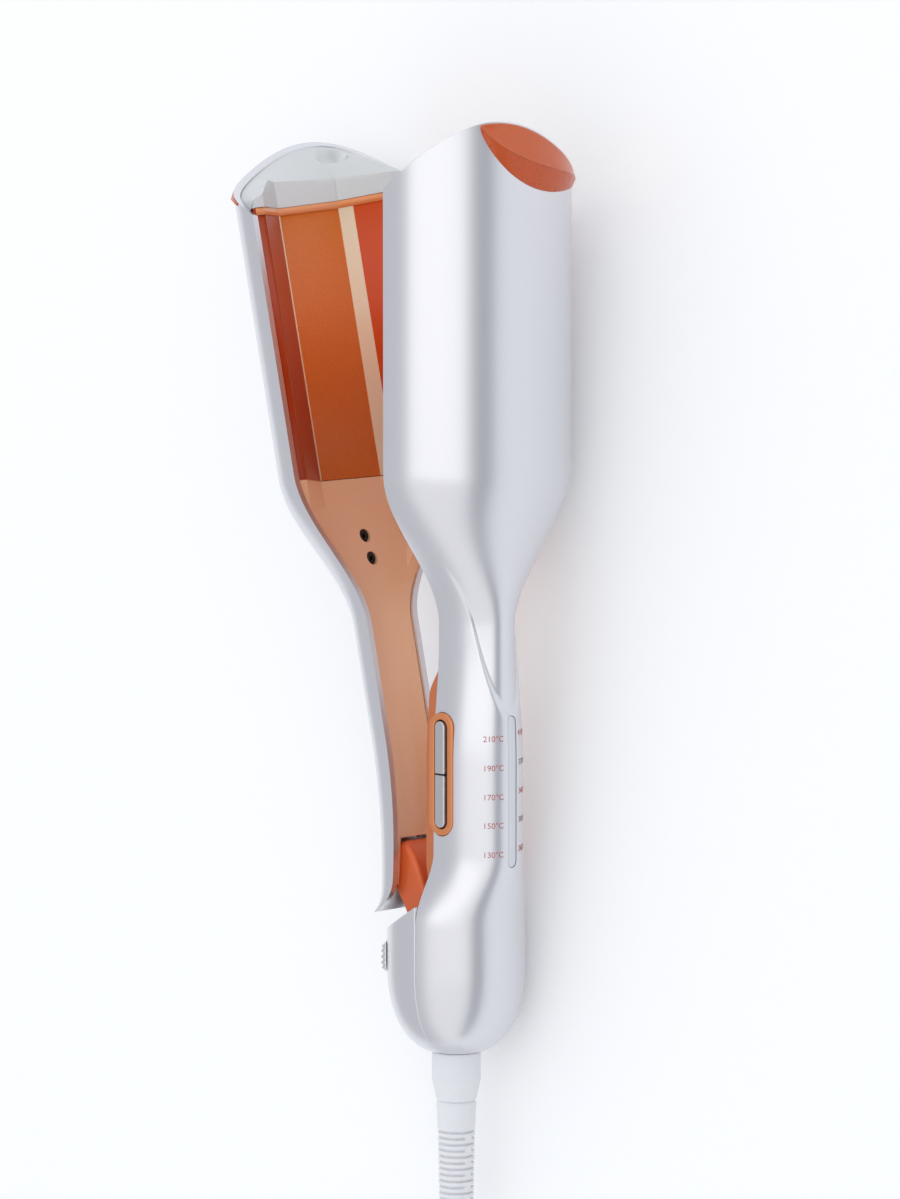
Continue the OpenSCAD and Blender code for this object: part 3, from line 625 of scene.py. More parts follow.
def mesh_of(name: str, points: Array, skin: Skin) -> bpy.types.Mesh:
    """Makes a mesh with a skin's faces.

    Args:
        name: the mesh's name.
        points: its points, in metres.
        skin: the surface that the faces come from.

    Returns:
        The mesh.
    """
    mesh = bpy.data.meshes.new(name)
    mesh.from_pydata(points.tolist(), [], [*skin.quads.tolist(), *skin.ends])
    return mesh


def settled_mesh(obj: bpy.types.Object) -> bpy.types.Mesh:
    """Makes a mesh of what an object's modifiers, or its lettering, make of it.

    Args:
        obj: the object.

    Returns:
        The new mesh.
    """
    graph = bpy.context.evaluated_depsgraph_get()
    graph.update()
    return bpy.data.meshes.new_from_object(obj.evaluated_get(graph))


class Workbench:
    """Makes objects in the row frame, gives them their finish and tells the frame about them."""

    def __init__(self, place: Placement) -> None:
        """Keeps the placement that every piece goes through."""
        self.place = place
        self.made: list[str] = []

    def piece(self, name: str, skin: Skin, arm: Arm, material: bpy.types.Material,
              replaces: Sequence[str] = (), slot: str = "", bevel: float = 0.0,
              bevel_angle: float = 32.0, in_row: bool = False) -> bpy.types.Object:
        """Makes one piece.

        Args:
            name: the object's name.
            skin: its surface in the tool frame.
            arm: the body it rides on, and the arm it is drawn with.
            material: its finish.
            replaces: CAD nodes that it stands for.
            slot: the record's material slot.
            bevel: rounding of its sharp edges, in millimetres, or 0 for none.
            bevel_angle: the least angle that counts as a sharp edge, in degrees.
            in_row: whether the skin is in the row frame already, in millimetres.

        Returns:
            The object.
        """
        skin = skin.flipped_if_inside_out()
        mesh = mesh_of(name, skin.points * MM if in_row else self.place(skin.points, arm), skin)
        mesh.update()
        mesh.polygons.foreach_set("use_smooth", np.ones(len(mesh.polygons), dtype=bool))
        obj = link_object(name, mesh)
        if bevel:
            self.bevel(obj, bevel, bevel_angle)
        return self.finish(obj, arm, material, replaces, slot)

    def bevel(self, obj: bpy.types.Object, width: float, angle: float) -> None:
        """Rounds the object's sharp edges with three-step bevels that keep flat faces flat.

        Args:
            obj: the object.
            width: the bevel's width, in millimetres.
            angle: the least angle that counts as a sharp edge, in degrees.
        """
        mod = obj.modifiers.new("soft_edges", "BEVEL")
        mod.width, mod.segments = width * MM, 3
        mod.limit_method, mod.angle_limit = "ANGLE", math.radians(angle)
        mod.harden_normals, mod.miter_outer = True, "MITER_ARC"

    def finish(self, obj: bpy.types.Object, arm: Arm, material: bpy.types.Material,
               replaces: Sequence[str] = (), slot: str = "") -> bpy.types.Object:
        """Gives an object its material, body and the nodes that it stands for.

        Args:
            obj: the object.
            arm: the body it rides on.
            material: its finish.
            replaces: CAD nodes that it stands for.
            slot: the record's material slot; not used.

        Returns:
            The object.
        """
        obj.data.materials.clear()
        obj.data.materials.append(material)
        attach(obj, arm.value)
        if replaces:
            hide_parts(*replaces)
        self.made.append(obj.name)
        LOG.info("%s: %d faces on %s", obj.name,
                 len(obj.data.polygons) if obj.type == "MESH" else 0, arm.value)
        return obj

    def cut(self, obj: bpy.types.Object, skins: Sequence[Skin], arm: Arm) -> None:
        """Cuts closed skins out of an object and keeps the result as its mesh.

        Args:
            obj: the piece to cut.
            skins: the closed tools, in the tool frame.
            arm: the arm that they are drawn with.
        """
        skin = join_skins(skins)
        tool = link_object("cutter", mesh_of("cutter", self.place(skin.points, arm), skin))
        mod = obj.modifiers.new("opening", "BOOLEAN")
        mod.operation, mod.solver, mod.object = "DIFFERENCE", "EXACT", tool
        made, old, cutter = settled_mesh(obj), obj.data, tool.data
        made.name = old.name
        obj.modifiers.clear()
        obj.data = made
        bpy.data.objects.remove(tool)
        for mesh in (old, cutter):
            bpy.data.meshes.remove(mesh)


# ---------------------------------------------------------------------------------------------
# Finishes


def add_node(tree: bpy.types.NodeTree, kind: str, values: dict | None = None,
             links: dict | None = None, **settings: object) -> bpy.types.Node:
    """Adds one node to a material's tree.

    Args:
        tree: the tree.
        kind: the node's type name.
        values: input socket to constant.
        links: input socket to the output socket that feeds it.
        settings: the node's own properties.

    Returns:
        The node.
    """
    node = tree.nodes.new(kind)
    for key, value in settings.items():
        setattr(node, key, value)
    for key, value in (values or {}).items():
        node.inputs[key].default_value = value
    for key, output in (links or {}).items():
        tree.links.new(output, node.inputs[key])
    return node


def ramp(tree: bpy.types.NodeTree, source: bpy.types.NodeSocket,
         stops: Sequence[tuple[float, tuple[float, float, float, float]]]) -> bpy.types.NodeSocket:
    """Adds a colour ramp to a material's tree.

    Args:
        tree: the tree.
        source: the socket that drives it.
        stops: each stop's place and linear colour.

    Returns:
        Its colour output.
    """
    node = add_node(tree, "ShaderNodeValToRGB", links={"Fac": source})
    elements = node.color_ramp.elements
    for i, (at, colour) in enumerate(stops):
        element = elements[i] if i < len(elements) else elements.new(at)
        element.position = at
        element.color = colour
    return node.outputs["Color"]


def shade(hex_colour: str, factor: float) -> tuple[float, float, float, float]:
    """A linear colour made darker or lighter by a factor."""
    r, g, b, a = srgb(hex_colour)
    return (min(1.0, r * factor), min(1.0, g * factor), min(1.0, b * factor), a)


@dataclass(frozen=True)
class Finish:
    """A surface as its maker would name it, with the pattern that the eye can see on it."""

    name: str
    colour: str
    roughness: float
    metallic: float = 0.0
    coat: float = 0.0
    coat_roughness: float = 0.08
    grain_mm: float = 0.3
    colour_swing: float = 0.06
    rough_swing: float = 0.05
    bump_mm: float = 0.004
    stretch: tuple[float, float, float] = (1.0, 1.0, 1.0)
    flakes: bool = False
    glow: float = 0.0
    subsurface: float = 0.0

    def build(self) -> bpy.types.Material:
        """Builds the node material: grain drives colour, roughness and bump together.

        Returns:
            The material.
        """
        mat = bpy.data.materials.new(self.name)
        mat.use_nodes = True
        tree = mat.node_tree
        tree.nodes.clear()
        coords = add_node(tree, "ShaderNodeTexCoord")
        mapped = add_node(tree, "ShaderNodeMapping", values={"Scale": self.stretch},
                          links={"Vector": coords.outputs["Object"]})
        scale = 1.0 / (self.grain_mm * MM)
        if self.flakes:
            grain = add_node(tree, "ShaderNodeTexVoronoi", values={"Scale": scale},
                             links={"Vector": mapped.outputs["Vector"]})
            value = add_node(tree, "ShaderNodeSeparateColor",
                             links={"Color": grain.outputs["Color"]}).outputs["Red"]
        else:
            grain = add_node(tree, "ShaderNodeTexNoise",
                             values={"Scale": scale, "Detail": 3.0, "Roughness": 0.6},
                             links={"Vector": mapped.outputs["Vector"]})
            value = grain.outputs["Fac"]
        swing = self.colour_swing
        colour = ramp(tree, value, ((0.2, shade(self.colour, 1 - swing)),
                                    (0.8, shade(self.colour, 1 + swing))))
        rough = add_node(tree, "ShaderNodeMapRange",
                         values={"To Min": self.roughness - self.rough_swing,
                                 "To Max": self.roughness + self.rough_swing},
                         links={"Value": value})
        bump = add_node(tree, "ShaderNodeBump",
                        values={"Strength": 0.6, "Distance": self.bump_mm * MM},
                        links={"Height": value})
        bsdf = add_node(
            tree, "ShaderNodeBsdfPrincipled",
            values={"Metallic": self.metallic, "Coat Weight": self.coat,
                    "Coat Roughness": self.coat_roughness,
                    "Subsurface Weight": self.subsurface, "Subsurface Scale": DEPTH_MM * MM,
                    "Emission Color": srgb(self.colour), "Emission Strength": self.glow},
            links={"Base Color": colour, "Roughness": rough.outputs["Result"],
                   "Normal": bump.outputs["Normal"]})
        add_node(tree, "ShaderNodeOutputMaterial", links={"Surface": bsdf.outputs["BSDF"]})
        return mat


class Finishes:
    """Every finish on the tool, each built once."""

    def __init__(self) -> None:
        """Builds all the materials."""
        # Silver flake lacquer on moulded ABS: a soft grey metal look with a clear satin top.
        # Real flakes are about 0.03 mm; they are drawn at 0.25 mm so that they show at all.
        self.silver = Finish("silver_flake_lacquer", "#DEDEE3", 0.30, metallic=0.85, coat=0.3,
                             coat_roughness=0.16, grain_mm=0.25, colour_swing=0.035,
                             rough_swing=0.03, bump_mm=0.002).build()
        # The same lacquer under the end caps, sprayed matter.
        self.satin_silver = Finish("satin_silver_lacquer", "#DADCDC", 0.38, metallic=0.55,
                                   colour_swing=0.03, rough_swing=0.03, bump_mm=0.002).build()
        # Copper pearl lacquer on the moulded trays: warm orange with a soft metal sheen. The
        # lever's liner takes a paler copy of it, painted light for the shade it lies in, and
        # the hinge's hump is redder.
        copper = Finish("copper_pearl_lacquer", "#CF7647", 0.36, metallic=0.35, coat=0.25,
                        coat_roughness=0.2, grain_mm=0.35, rough_swing=0.04, bump_mm=0.003)
        liner = replace(copper, name="copper_lacquer_painted_light", colour="#FFCBA2", roughness=0.4,
                        metallic=0.1, colour_swing=0.05)
        self.copper, self.liner = copper.build(), liner.build()
        self.hump = replace(liner, name="deep_copper_lacquer", colour="#E86A34", roughness=0.38,
                            metallic=0.15, coat=0.15).build()
        # Ceramic coat on aluminium plate: a copper tone full of fine darker and lighter specks.
        self.ceramic = Finish("speckled_ceramic_coating", "#E4721E", 0.42, colour_swing=0.07,
                              rough_swing=0.04, bump_mm=0.002, flakes=True).build()
        # The same coat on the trough's flanks in two copies: a darker red on the near flank,
        # painted shade, and a brighter red on the far flank, painted light.
        flank_painted_shade = Finish("ceramic_coating_painted_shade", "#B63A02", 0.4, grain_mm=0.35, rough_swing=0.04,
                       bump_mm=0.002)
        self.flank_painted_shade = flank_painted_shade.build()
        self.far_flank_painted_light = replace(flank_painted_shade, name="ceramic_coating_painted_light", colour="#DE4C04").build()
        # Cream copper along the two folds and a lighter band round the plate's end, painted
        # highlight where they would catch the window of light.
        fold = Finish("copper_fold_painted_highlight", "#FFE2C0", 0.3, coat=0.3, grain_mm=0.6,
                      colour_swing=0.03, rough_swing=0.02, bump_mm=0.001)
        self.fold = fold.build()
        self.band_painted_highlight = replace(fold, name="copper_band_painted_highlight", colour="#F59A5C").build()
        # Tinted acrylic lens in the tips: glossy orange with a little depth. Below its fold it
        # faces down, and a darker copy there is painted shade.
        lens = Finish("tinted_acrylic", "#D4602A", 0.22, coat=0.3, grain_mm=2.5,
                      colour_swing=0.05, rough_swing=0.03, bump_mm=0.002, subsurface=0.15)
        self.lens = lens.build()
        self.lens_foot_painted_shade = replace(lens, name="tinted_acrylic_painted_shade", colour="#C9521C",
                                 roughness=0.28, coat=0.0, colour_swing=0.04).build()
        # Pearl orange key surround, glossier than the trays.
        self.surround = Finish("orange_pearl_lacquer", "#E08A52", 0.24, metallic=0.45, coat=0.5,
                               grain_mm=0.35, colour_swing=0.04, rough_swing=0.03,
                               bump_mm=0.002).build()
        # Brushed anodised aluminium on the keys: fine lines along their length.
        self.key = Finish("brushed_anodised_aluminium", "#CACBCE", 0.30, metallic=0.9,
                          stretch=(1.0, 0.08, 1.0), colour_swing=0.05, rough_swing=0.07,
                          bump_mm=0.003).build()
        # Soft elastomer of the collar, strain relief and cord: matt, pale, faintly mottled.
        self.elastomer = Finish("pale_elastomer", "#F0F0F2", 0.52, grain_mm=0.7,
                                colour_swing=0.03, rough_swing=0.06, bump_mm=0.01,
                                subsurface=0.08).build()
        self.cable = Finish("extruded_pvc_jacket", "#EDEDEF", 0.42, grain_mm=1.2,
                            colour_swing=0.025, bump_mm=0.012).build()
        # Frosted polycarbonate over the lamps.
        self.diffuser = Finish("frosted_polycarbonate", "#E3E4E8", 0.34, grain_mm=0.5,
                               colour_swing=0.02, rough_swing=0.04, bump_mm=0.003,
                               subsurface=0.2).build()
        # Pad-printed ink of the scale.
        ink = Finish("pad_printed_red_ink", "#BE5A50", 0.5, grain_mm=0.4, bump_mm=0.001)
        self.red_ink = ink.build()
        self.grey_ink = replace(ink, name="pad_printed_grey_ink", colour="#8C7A7C").build()
        # Dark moulded polyamide in the key well and the brackets.
        self.dark = Finish("dark_polyamide", "#27282B", 0.55, grain_mm=0.6, colour_swing=0.12,
                           bump_mm=0.01).build()
        # Steel of the two recessed screws, darkened as painted shade so that they read as dark
        # holes.
        self.screw_painted_shade = Finish("steel_painted_shade", "#3B3330", 0.4, metallic=0.8,
                                  grain_mm=0.4, colour_swing=0.1).build()
        # What the casing holds: plated metal, natural nylon, laminate, wire and clear lamps.
        self.steel = Finish("bright_zinc_plated_steel", "#B9BBBE", 0.28, metallic=1.0,
                            grain_mm=0.4, stretch=(1.0, 1.0, 0.2), bump_mm=0.003).build()
        self.brass = Finish("nickel_plated_brass", "#D8CDB0", 0.22, metallic=1.0, grain_mm=0.5,
                            colour_swing=0.04, bump_mm=0.002).build()
        self.nylon = Finish("natural_polyamide", "#DCDBD6", 0.5, grain_mm=0.8,
                            colour_swing=0.04, bump_mm=0.006, subsurface=0.1).build()
        self.laminate = Finish("green_solder_mask", "#2F6B4A", 0.3, coat=0.3, grain_mm=1.5,
                               colour_swing=0.15).build()
        self.wire = Finish("silicone_wire_jacket", "#A8342A", 0.5, grain_mm=0.8,
                           colour_swing=0.08, bump_mm=0.006).build()
        self.lamp = Finish("lamp_epoxy", "#F3EFE2", 0.2, grain_mm=1.0, colour_swing=0.02,
                           bump_mm=0.001, glow=0.2).build()


# ---------------------------------------------------------------------------------------------
# Shell sections


def arm_wall(y: Array, mid: Array, reach: Array, half: Array, rim: Array, outward: int,
             recess: Callable[[Array, Array], Array] | None = None, columns: int = 73) -> Array:
    """Sections of a moulded shell: an ellipse cut at the rim plane, and the same inset by a wall.

    The rim angle is the one whose cosine is (rim - mid) / reach, so the section ends on the plane.

    Args:
        y: stations, one to a row.
        mid: the ellipse's centre along X.
        reach: its half axis along X.
        half: its half axis along Z.
        rim: X of the rim plane.
        outward: 1 where the shell lies on the +X side of the plane, -1 on the other.
        recess: extra inset of both walls by station and angle in degrees.
        columns: points across the outer wall.

    Returns:
        Points of shape rows, twice the columns, three.
    """
    t = np.linspace(0, 1, columns)[None, :]

    def arc(inset: float) -> Array:
        """Places the sections' points at a depth under the outer face.

        Args:
            inset: the depth.

        Returns:
            The points, one section to a row.
        """
        edge = np.degrees(np.arccos(np.clip((rim - mid) / (reach - inset), -1, 1)))[:, None]
        a = mix(-edge, edge, t) if outward > 0 else mix(edge, 360 - edge, t)
        q = recess(y[:, None], a) if recess else 0.0
        r = np.radians(a)
        x = mid[:, None] + (reach[:, None] - inset - q) * np.cos(r)
        z = (half[:, None] - inset - q) * np.sin(r)
        return np.stack([x, np.broadcast_to(y[:, None], x.shape), z], axis=-1)

    return np.concatenate([arc(0.0), arc(FORM.wall)[:, ::-1]], axis=1)


def to_tip(rows: Array, from_row: int, side: int) -> Array:
    """Stretches the rows above one of them so that the last meets the tip's edge.

    Each later row keeps its share of the height between that row and the edge.

    Args:
        rows: the sections.
        from_row: the last row that stays level.
        side: 1 for the fixed arm, -1 for the lever.

    Returns:
        The stretched sections.
    """
    out = rows.copy()
    low, top = rows[from_row, 0, 1], rows[-1, 0, 1]
    part = rows[from_row:]
    edge = FORM.tip_edge(part[..., 0], part[..., 2], side)
    out[from_row:, :, 1] = low + (part[..., 1] - low) / (top - low) * (edge - low)
    return out


def body_stations(low: float, high: float, step: float) -> Array:
    """Even stations from low to high, no further apart than step."""
    return np.linspace(low, high, int(math.ceil((high - low) / step)) + 1)


def dome_stations() -> Array:
    """Stations of the foot's dome, closer together towards its end, where it turns in fastest."""
    limit = math.asin((FORM.dome_y - FORM.shell_end) / FORM.dome_h)
    return (FORM.dome_y - FORM.dome_h * np.sin(np.linspace(limit, 0, 30)))[:-1]


def stadium(length: float, width: float, steps: int = 24) -> Array:
    """Outline of a slot with round ends, its long side along the second axis.

    Args:
        length: overall length.
        width: overall width.
        steps: points round each end.

    Returns:
        Points of the closed outline, anticlockwise.
    """
    a = np.linspace(0, math.pi, steps)
    r, s = width / 2, (length - width) / 2
    top = np.stack([r * np.cos(a), s + r * np.sin(a)], axis=-1)
    low = np.stack([-r * np.cos(a), -s - r * np.sin(a)], axis=-1)
    return np.concatenate([top, low])


@dataclass
class Maker:
    """What makes one part of the tool, piece by piece, on the shared bench."""

    bench: Workbench
    finishes: Finishes

    def add_rails(self, stem: str, outline: Array, arm: Arm, finish: bpy.types.Material,
                  node: str, span: tuple[float, float], lean: float) -> None:
        """Makes the two carrier strips along the sides of a plate.

        Args:
            stem: how both names start.
            outline: the upper strip's section; the lower one is its mirror image.
            arm: the body they ride on.
            finish: their material.
            node: the CAD node that they stand for.
            span: where they start and end along Y.
            lean: rise of their upper ends for each millimetre of Z.
        """
        for side, sign in (("upper", 1), ("lower", -1)):
            skin = extruded(outline * [1, sign], *span, 1, lean)
            self.bench.piece(f"{stem}_rail_{side}", skin, arm, finish, [node], "copper_tray")

    def add_lens(self, stem: str, arm: Arm, node: str, mid: float, reach: float,
                 side: int) -> None:
        """Lets the orange lens into a tip, as its part above the fold and its foot, whose darker
        copy of the lens is painted shade.

        Args:
            stem: how both names start.
            arm: the body they ride on.
            node: the CAD node that they stand for.
            mid: centre of the barrel's section.
            reach: its half axis along X.
            side: 1 for the fixed arm, -1 for the lever.
        """
        for face, part, finish, nodes in (
                (LensFace.CROWN, "tip_lens", self.finishes.lens, [node]),
                (LensFace.FOOT, "lens_foot_painted_shade", self.finishes.lens_foot_painted_shade, [])):
            self.bench.piece(f"{stem}_{part}", lens_skin(mid, reach, side, face), arm, finish,
                             nodes, "orange_trim")


@dataclass
class FixedArm(Maker):
    """The arm that the hand holds: shell, foot cover, frame, plate, cap and lens."""

    bezel_x: float = 3.9
    bezel_y: float = 58.0
    keys_opening: tuple[float, float] = (41.9, 10.5)
    window_y: float = 52.5
    window_l: float = 51.0
    window_w: float = 3.8
    window_gap: float = 0.3
    lock_slot: tuple[float, float, float] = (-14.6, -1.0, 1.75)
    crease_y: float = 76.0
    crease_rise: float = 31.0
    crease_angle: float = 55.0
    crease_end: float = 134.0
    cover_x: float = -0.1
    cover_low: float = -2.0
    cover_top: float = 2.0
    lip_rise: float = 9.5
    tray_low: float = 13.0
    tray_wall: float = 1.8
    tray_step: float = 84.0
    ramp_low: float = 118.0
    rail_half: float = 30.0
    ridge_half: float = 13.6

    def crease(self, y: Array, angle: Array) -> Array:
        """Depth of the neck's tongue below the grip, past a parabola in the section's angle."""
        edge = self.crease_y + self.crease_rise * (np.abs(angle) / self.crease_angle) ** 2
        return FORM.swell * smooth((y - edge) / 5) * smooth((self.crease_end - y) / 30)

    def wall_rows(self, y: Array) -> Array:
        """The fixed shell's sections at the given stations."""
        return arm_wall(y, FORM.base_mid(y), FORM.base_reach(y), FORM.base_half(y),
                        np.zeros_like(y), 1, self.crease, 145)

    def surface(self, y: Array, angle: Array, rise: float = 0.0) -> Array:
        """Points on the shell's outside.

        Args:
            y: stations.
            angle: section angles in degrees, from the outer centre towards the keys.
            rise: height above the surface.

        Returns:
            Positions in the tool frame.
        """
        q = self.crease(y, angle) - rise
        r = np.radians(angle)
        x = FORM.base_mid(y) + (FORM.base_reach(y) - q) * np.cos(r)
        return np.stack([x, y, (FORM.base_half(y) - q) * np.sin(r)], axis=-1)

    def keys_hole(self) -> Skin:
        """The tool that opens the shell and the tray for the keys and their surround."""
        return extruded(stadium(*self.keys_opening) + [self.bezel_x, self.bezel_y], 8, 20, 2)

    def make_shell(self) -> None:
        """The long outer shell with its openings for the keys and the lamp window."""
        level = np.concatenate([dome_stations(), body_stations(FORM.dome_y, 70, 2),
                                body_stations(70, 136, 0.75)[1:],
                                body_stations(136, FORM.level_top, 2)[1:]])
        y = np.concatenate([level, body_stations(FORM.level_top, FORM.tip_y, 2.5)[1:]])
        rows = to_tip(self.wall_rows(y), len(level) - 1, 1)
        shell = self.bench.piece("fixed_shell", wall_skin(rows), Arm.FIXED, self.finishes.silver,
                                 ["base_shell"], "silver_shell", bevel=0.45)
        slot = stadium(self.window_l + self.window_gap, self.window_w + self.window_gap)[:, ::-1]
        rows = [np.insert(slot + [self.window_y, 0], 0, x, axis=1) for x in (16, 27)]
        self.bench.cut(shell, [self.keys_hole(), tube_skin(np.stack(rows))], Arm.FIXED)

    def cover_rows(self, y: Array) -> Array:
        """The foot cover's sections at the given stations."""
        return arm_wall(y, FORM.base_mid(y), FORM.base_reach(y), FORM.base_half(y),
                        np.full_like(y, self.cover_x), -1)

    def make_cover(self) -> None:
        """The cover that closes the foot behind the hinge, its lip rising towards the seam."""
        y = np.concatenate([dome_stations(), body_stations(FORM.dome_y, self.cover_low, 0.75)])
        rows, top = self.cover_rows(y), self.cover_rows(np.full(1, self.cover_top))[0]
        top[:, 1] += self.lip(top[:, 0])
        rise = mix(rows[-1][None], top[None], np.linspace(0, 1, 9)[1:, None, None])
        cover = self.bench.piece("foot_cover", wall_skin(np.concatenate([rows, rise])), Arm.FIXED,
                                 self.finishes.silver, ["rear_cover"], "silver_shell", bevel=0.45)
        low, high, half = self.lock_slot
        slot = rounded([[low, -half], [high, -half], [high, half], [low, half]], 1.6)
        self.bench.cut(cover, [lock_prism(slot, FORM.foot_r - 4.5, FORM.foot_r + 2)], Arm.FIXED)

    def lip(self, x: Array) -> Array:
        """Rise of the cover's upper edge, a power of 1.5 of the way from its back to the seam."""
        way = (x - FORM.foot_x + FORM.foot_r) / FORM.foot_r
        return self.lip_rise * np.clip(way, 0, None) ** 1.5

    def make_frame(self) -> None:
        """The copper tray in front of the shell, ramping up into the plate's ridge."""
        rows = self.tray_rows(body_stations(self.tray_low, FORM.plate_y, 1.5))
        frame = self.bench.piece("fixed_tray", wall_skin(rows), Arm.FIXED, self.finishes.copper,
                                 ["base_frame"], "copper_tray", bevel=0.5)
        self.bench.cut(frame, [self.keys_hole()], Arm.FIXED)
        rail = rounded([[-0.2, 36.7], [-1.0, 36.4], [-1.0, 30.2], [3.06, 30.2], [3.06, 26.4],
                        [4.6, 26.4], [4.6, 34.8], [-0.2, 34.8]], 0.3, 3)
        self.add_rails("tray", rail, Arm.FIXED, self.finishes.copper, "base_rails",
                       (FORM.plate_y + 0.1, FORM.ridge_top), FORM.plate_lean)

    def tray_rows(self, y: Array) -> Array:
        """The tray's sections: its visible face and the matching back face.

        Each corner goes from its place on the grip to its place on the ramp by smooth steps.

        Args:
            y: stations.

        Returns:
            The sections, one to a row.
        """
        b = smooth((y - self.ramp_low) / (FORM.plate_y - self.ramp_low))
        step = smooth((y - self.tray_step) / 11)
        h = FORM.arm_half(y) - mix(0.5, 1.3, step)
        k = FORM.arm_half(y) - FORM.wall - 0.65
        rail, t = 1.0, self.tray_wall
        e = mix(mix(FORM.frame_face, rail, step), rail, smooth((28 - y) / 16))
        f, s = mix(h - 6, self.rail_half, b), mix(e, FORM.side_x, b)
        r, g = mix(e, FORM.ridge_x, b), mix(h - 8, self.ridge_half, b)
        one = np.ones_like(y)
        face = [(4 * one, k), (-0.1 * one, k), (-0.1 * one, h), (0.8 - e, h), (-e, h - 0.8),
                (-e, f), (-s - 0.02, f - 0.1), (-r - 0.04, g)]
        rear = [(4 * one, k - t), (1.2 * one, k - t), (0.9 * one, k - t - 0.02),
                (t + 0.2 - e, k - t - 0.1), (t - e, k - t - 0.2), (t - e, f - 0.3),
                (t - s, f - t), (t - r, g - 0.6)]
        return folded_rows(y, face, rear)

    def make_plate(self) -> None:
        """The ridge-shaped heating plate, a bent strip with a heater channel behind it."""
        x, side, foot, half = FORM.ridge_x, FORM.side_x, self.rail_half, self.ridge_half
        outer = [[2.9, foot], [-side, foot], [-x, half], [-x, -half], [-side, -foot], [2.9, -foot]]
        inner = [[2.9, 3 - foot], [1.4, 2.2 - foot], [1.2 - side, 2 - foot], [2 - x, 0.6 - half],
                 [2 - x, half - 0.6], [1.2 - side, foot - 2], [1.4, foot - 2.2], [2.9, foot - 3]]
        skin = extruded(rounded(outer + inner, 0.7, 5), FORM.plate_y + FORM.plate_gap,
                        FORM.ridge_top - 0.05, 1, FORM.plate_lean)
        self.bench.piece("ridge_plate", skin, Arm.FIXED, self.finishes.ceramic, ["base_plate"],
                         "copper_plate")

    def make_cap(self) -> None:
        """The block that closes the fixed barrel's tip below its oblique rim."""
        a = np.radians(np.linspace(2, 92, 46))
        arc = np.stack([FORM.barrel_mid
                        + (FORM.base_depth - FORM.barrel_mid - FORM.cap_gap) * np.cos(a),
                        (FORM.barrel_half - FORM.cap_gap) * np.sin(a)], axis=-1)
        rest = [[-0.1, 35.3], [-0.12, 36.72], [-1.0, 36.7], [-1.02, self.rail_half + 0.02],
                [-FORM.side_x, self.rail_half], [-FORM.ridge_x, self.ridge_half]]
        line = np.concatenate([arc, rest])
        skin = block_skin(
            line, line * [1, -1],
            lambda z: FORM.ridge_top + 0.1 + FORM.plate_lean * z,
            lambda x, z, share: FORM.tip_edge(np.clip(x, 0, None), z, 1) - 0.5)
        self.bench.piece("fixed_tip_cap", skin, Arm.FIXED,
                         self.finishes.satin_silver, ["base_end_cap"], "silver_shell", bevel=0.5)

    def make(self) -> None:
        """Makes every piece of the arm."""
        self.make_shell()
        self.make_cover()
        self.make_frame()
        self.make_plate()
        self.make_cap()
        self.add_lens("fixed", Arm.FIXED, "base_accent", FORM.barrel_mid,
                      FORM.base_depth - FORM.barrel_mid, 1)


def lock_prism(outline: Array, near: float, far: float) -> Skin:
    """A flat outline carried outwards from the foot's axis, at the jaw lock's angle.

    Args:
        outline: its points along Y and across the lock.
        near: distance of its first end from the axis.
        far: distance of its other end.

    Returns:
        The closed prism.
    """
    a = math.pi - math.radians(FORM.lock_angle)
    out, across = np.array([math.cos(a), 0, math.sin(a)]), np.array([-math.sin(a), 0, math.cos(a)])
    flat = [FORM.foot_x, 0, 0] + across * outline[:, 1:2] + np.array([0, 1, 0]) * outline[:, 0:1]
    return tube_skin(np.stack([flat + out * reach for reach in (near, far)]))


def folded_rows(y: Array, face: Sequence[tuple[Array, Array]],
                rear: Sequence[tuple[Array, Array]]) -> Array:
    """Sections of a tray from half outlines, mirrored across Z.

    Args:
        y: stations.
        face: x and z of the visible face's corners, from the flange to the middle.
        rear: the matching corners behind them.

    Returns:
        Points of shape rows, four times the corners, three.
    """
    def whole(path: Sequence[tuple[Array, Array]]) -> Array:
        """Follows a half outline by its mirror image.

        Args:
            path: x and z of the half outline's corners.

        Returns:
            The whole outline's points, one section to a row.
        """
        x = np.stack([p[0] for p in path], axis=1)
        z = np.stack([p[1] for p in path], axis=1)
        station = np.broadcast_to(y[:, None], x.shape)
        half = np.stack([x, station, z], axis=-1)
        other = half[:, ::-1] * [1, 1, -1]
        return np.concatenate([half, other], axis=1)

    return np.concatenate([whole(face), whole(rear)[:, ::-1]], axis=1)


class LensFace(Enum):
    """The two faces of a tip lens."""

    FOOT = "below the fold"
    CROWN = "above the fold"


@dataclass(frozen=True)
class Lens:
    """Sizes of the tip lens, which is the same on both arms."""

    rise: float = 1.2
    drop: float = 17.6
    low_angle: float = -70.0
    high_angle: float = 33.0
    sunk: float = 0.06
    edge_round: float = 1.1
    below_tip: float = 0.6
    fold_low: float = 0.34
    fold_swing: float = 0.2
    plump: float = 0.75
    end_run: float = 40.0
    end_power: float = 0.8
    foot_proud: float = 0.12
    crown_fall: float = 0.7
    back_out: float = 0.02


LENS = Lens()


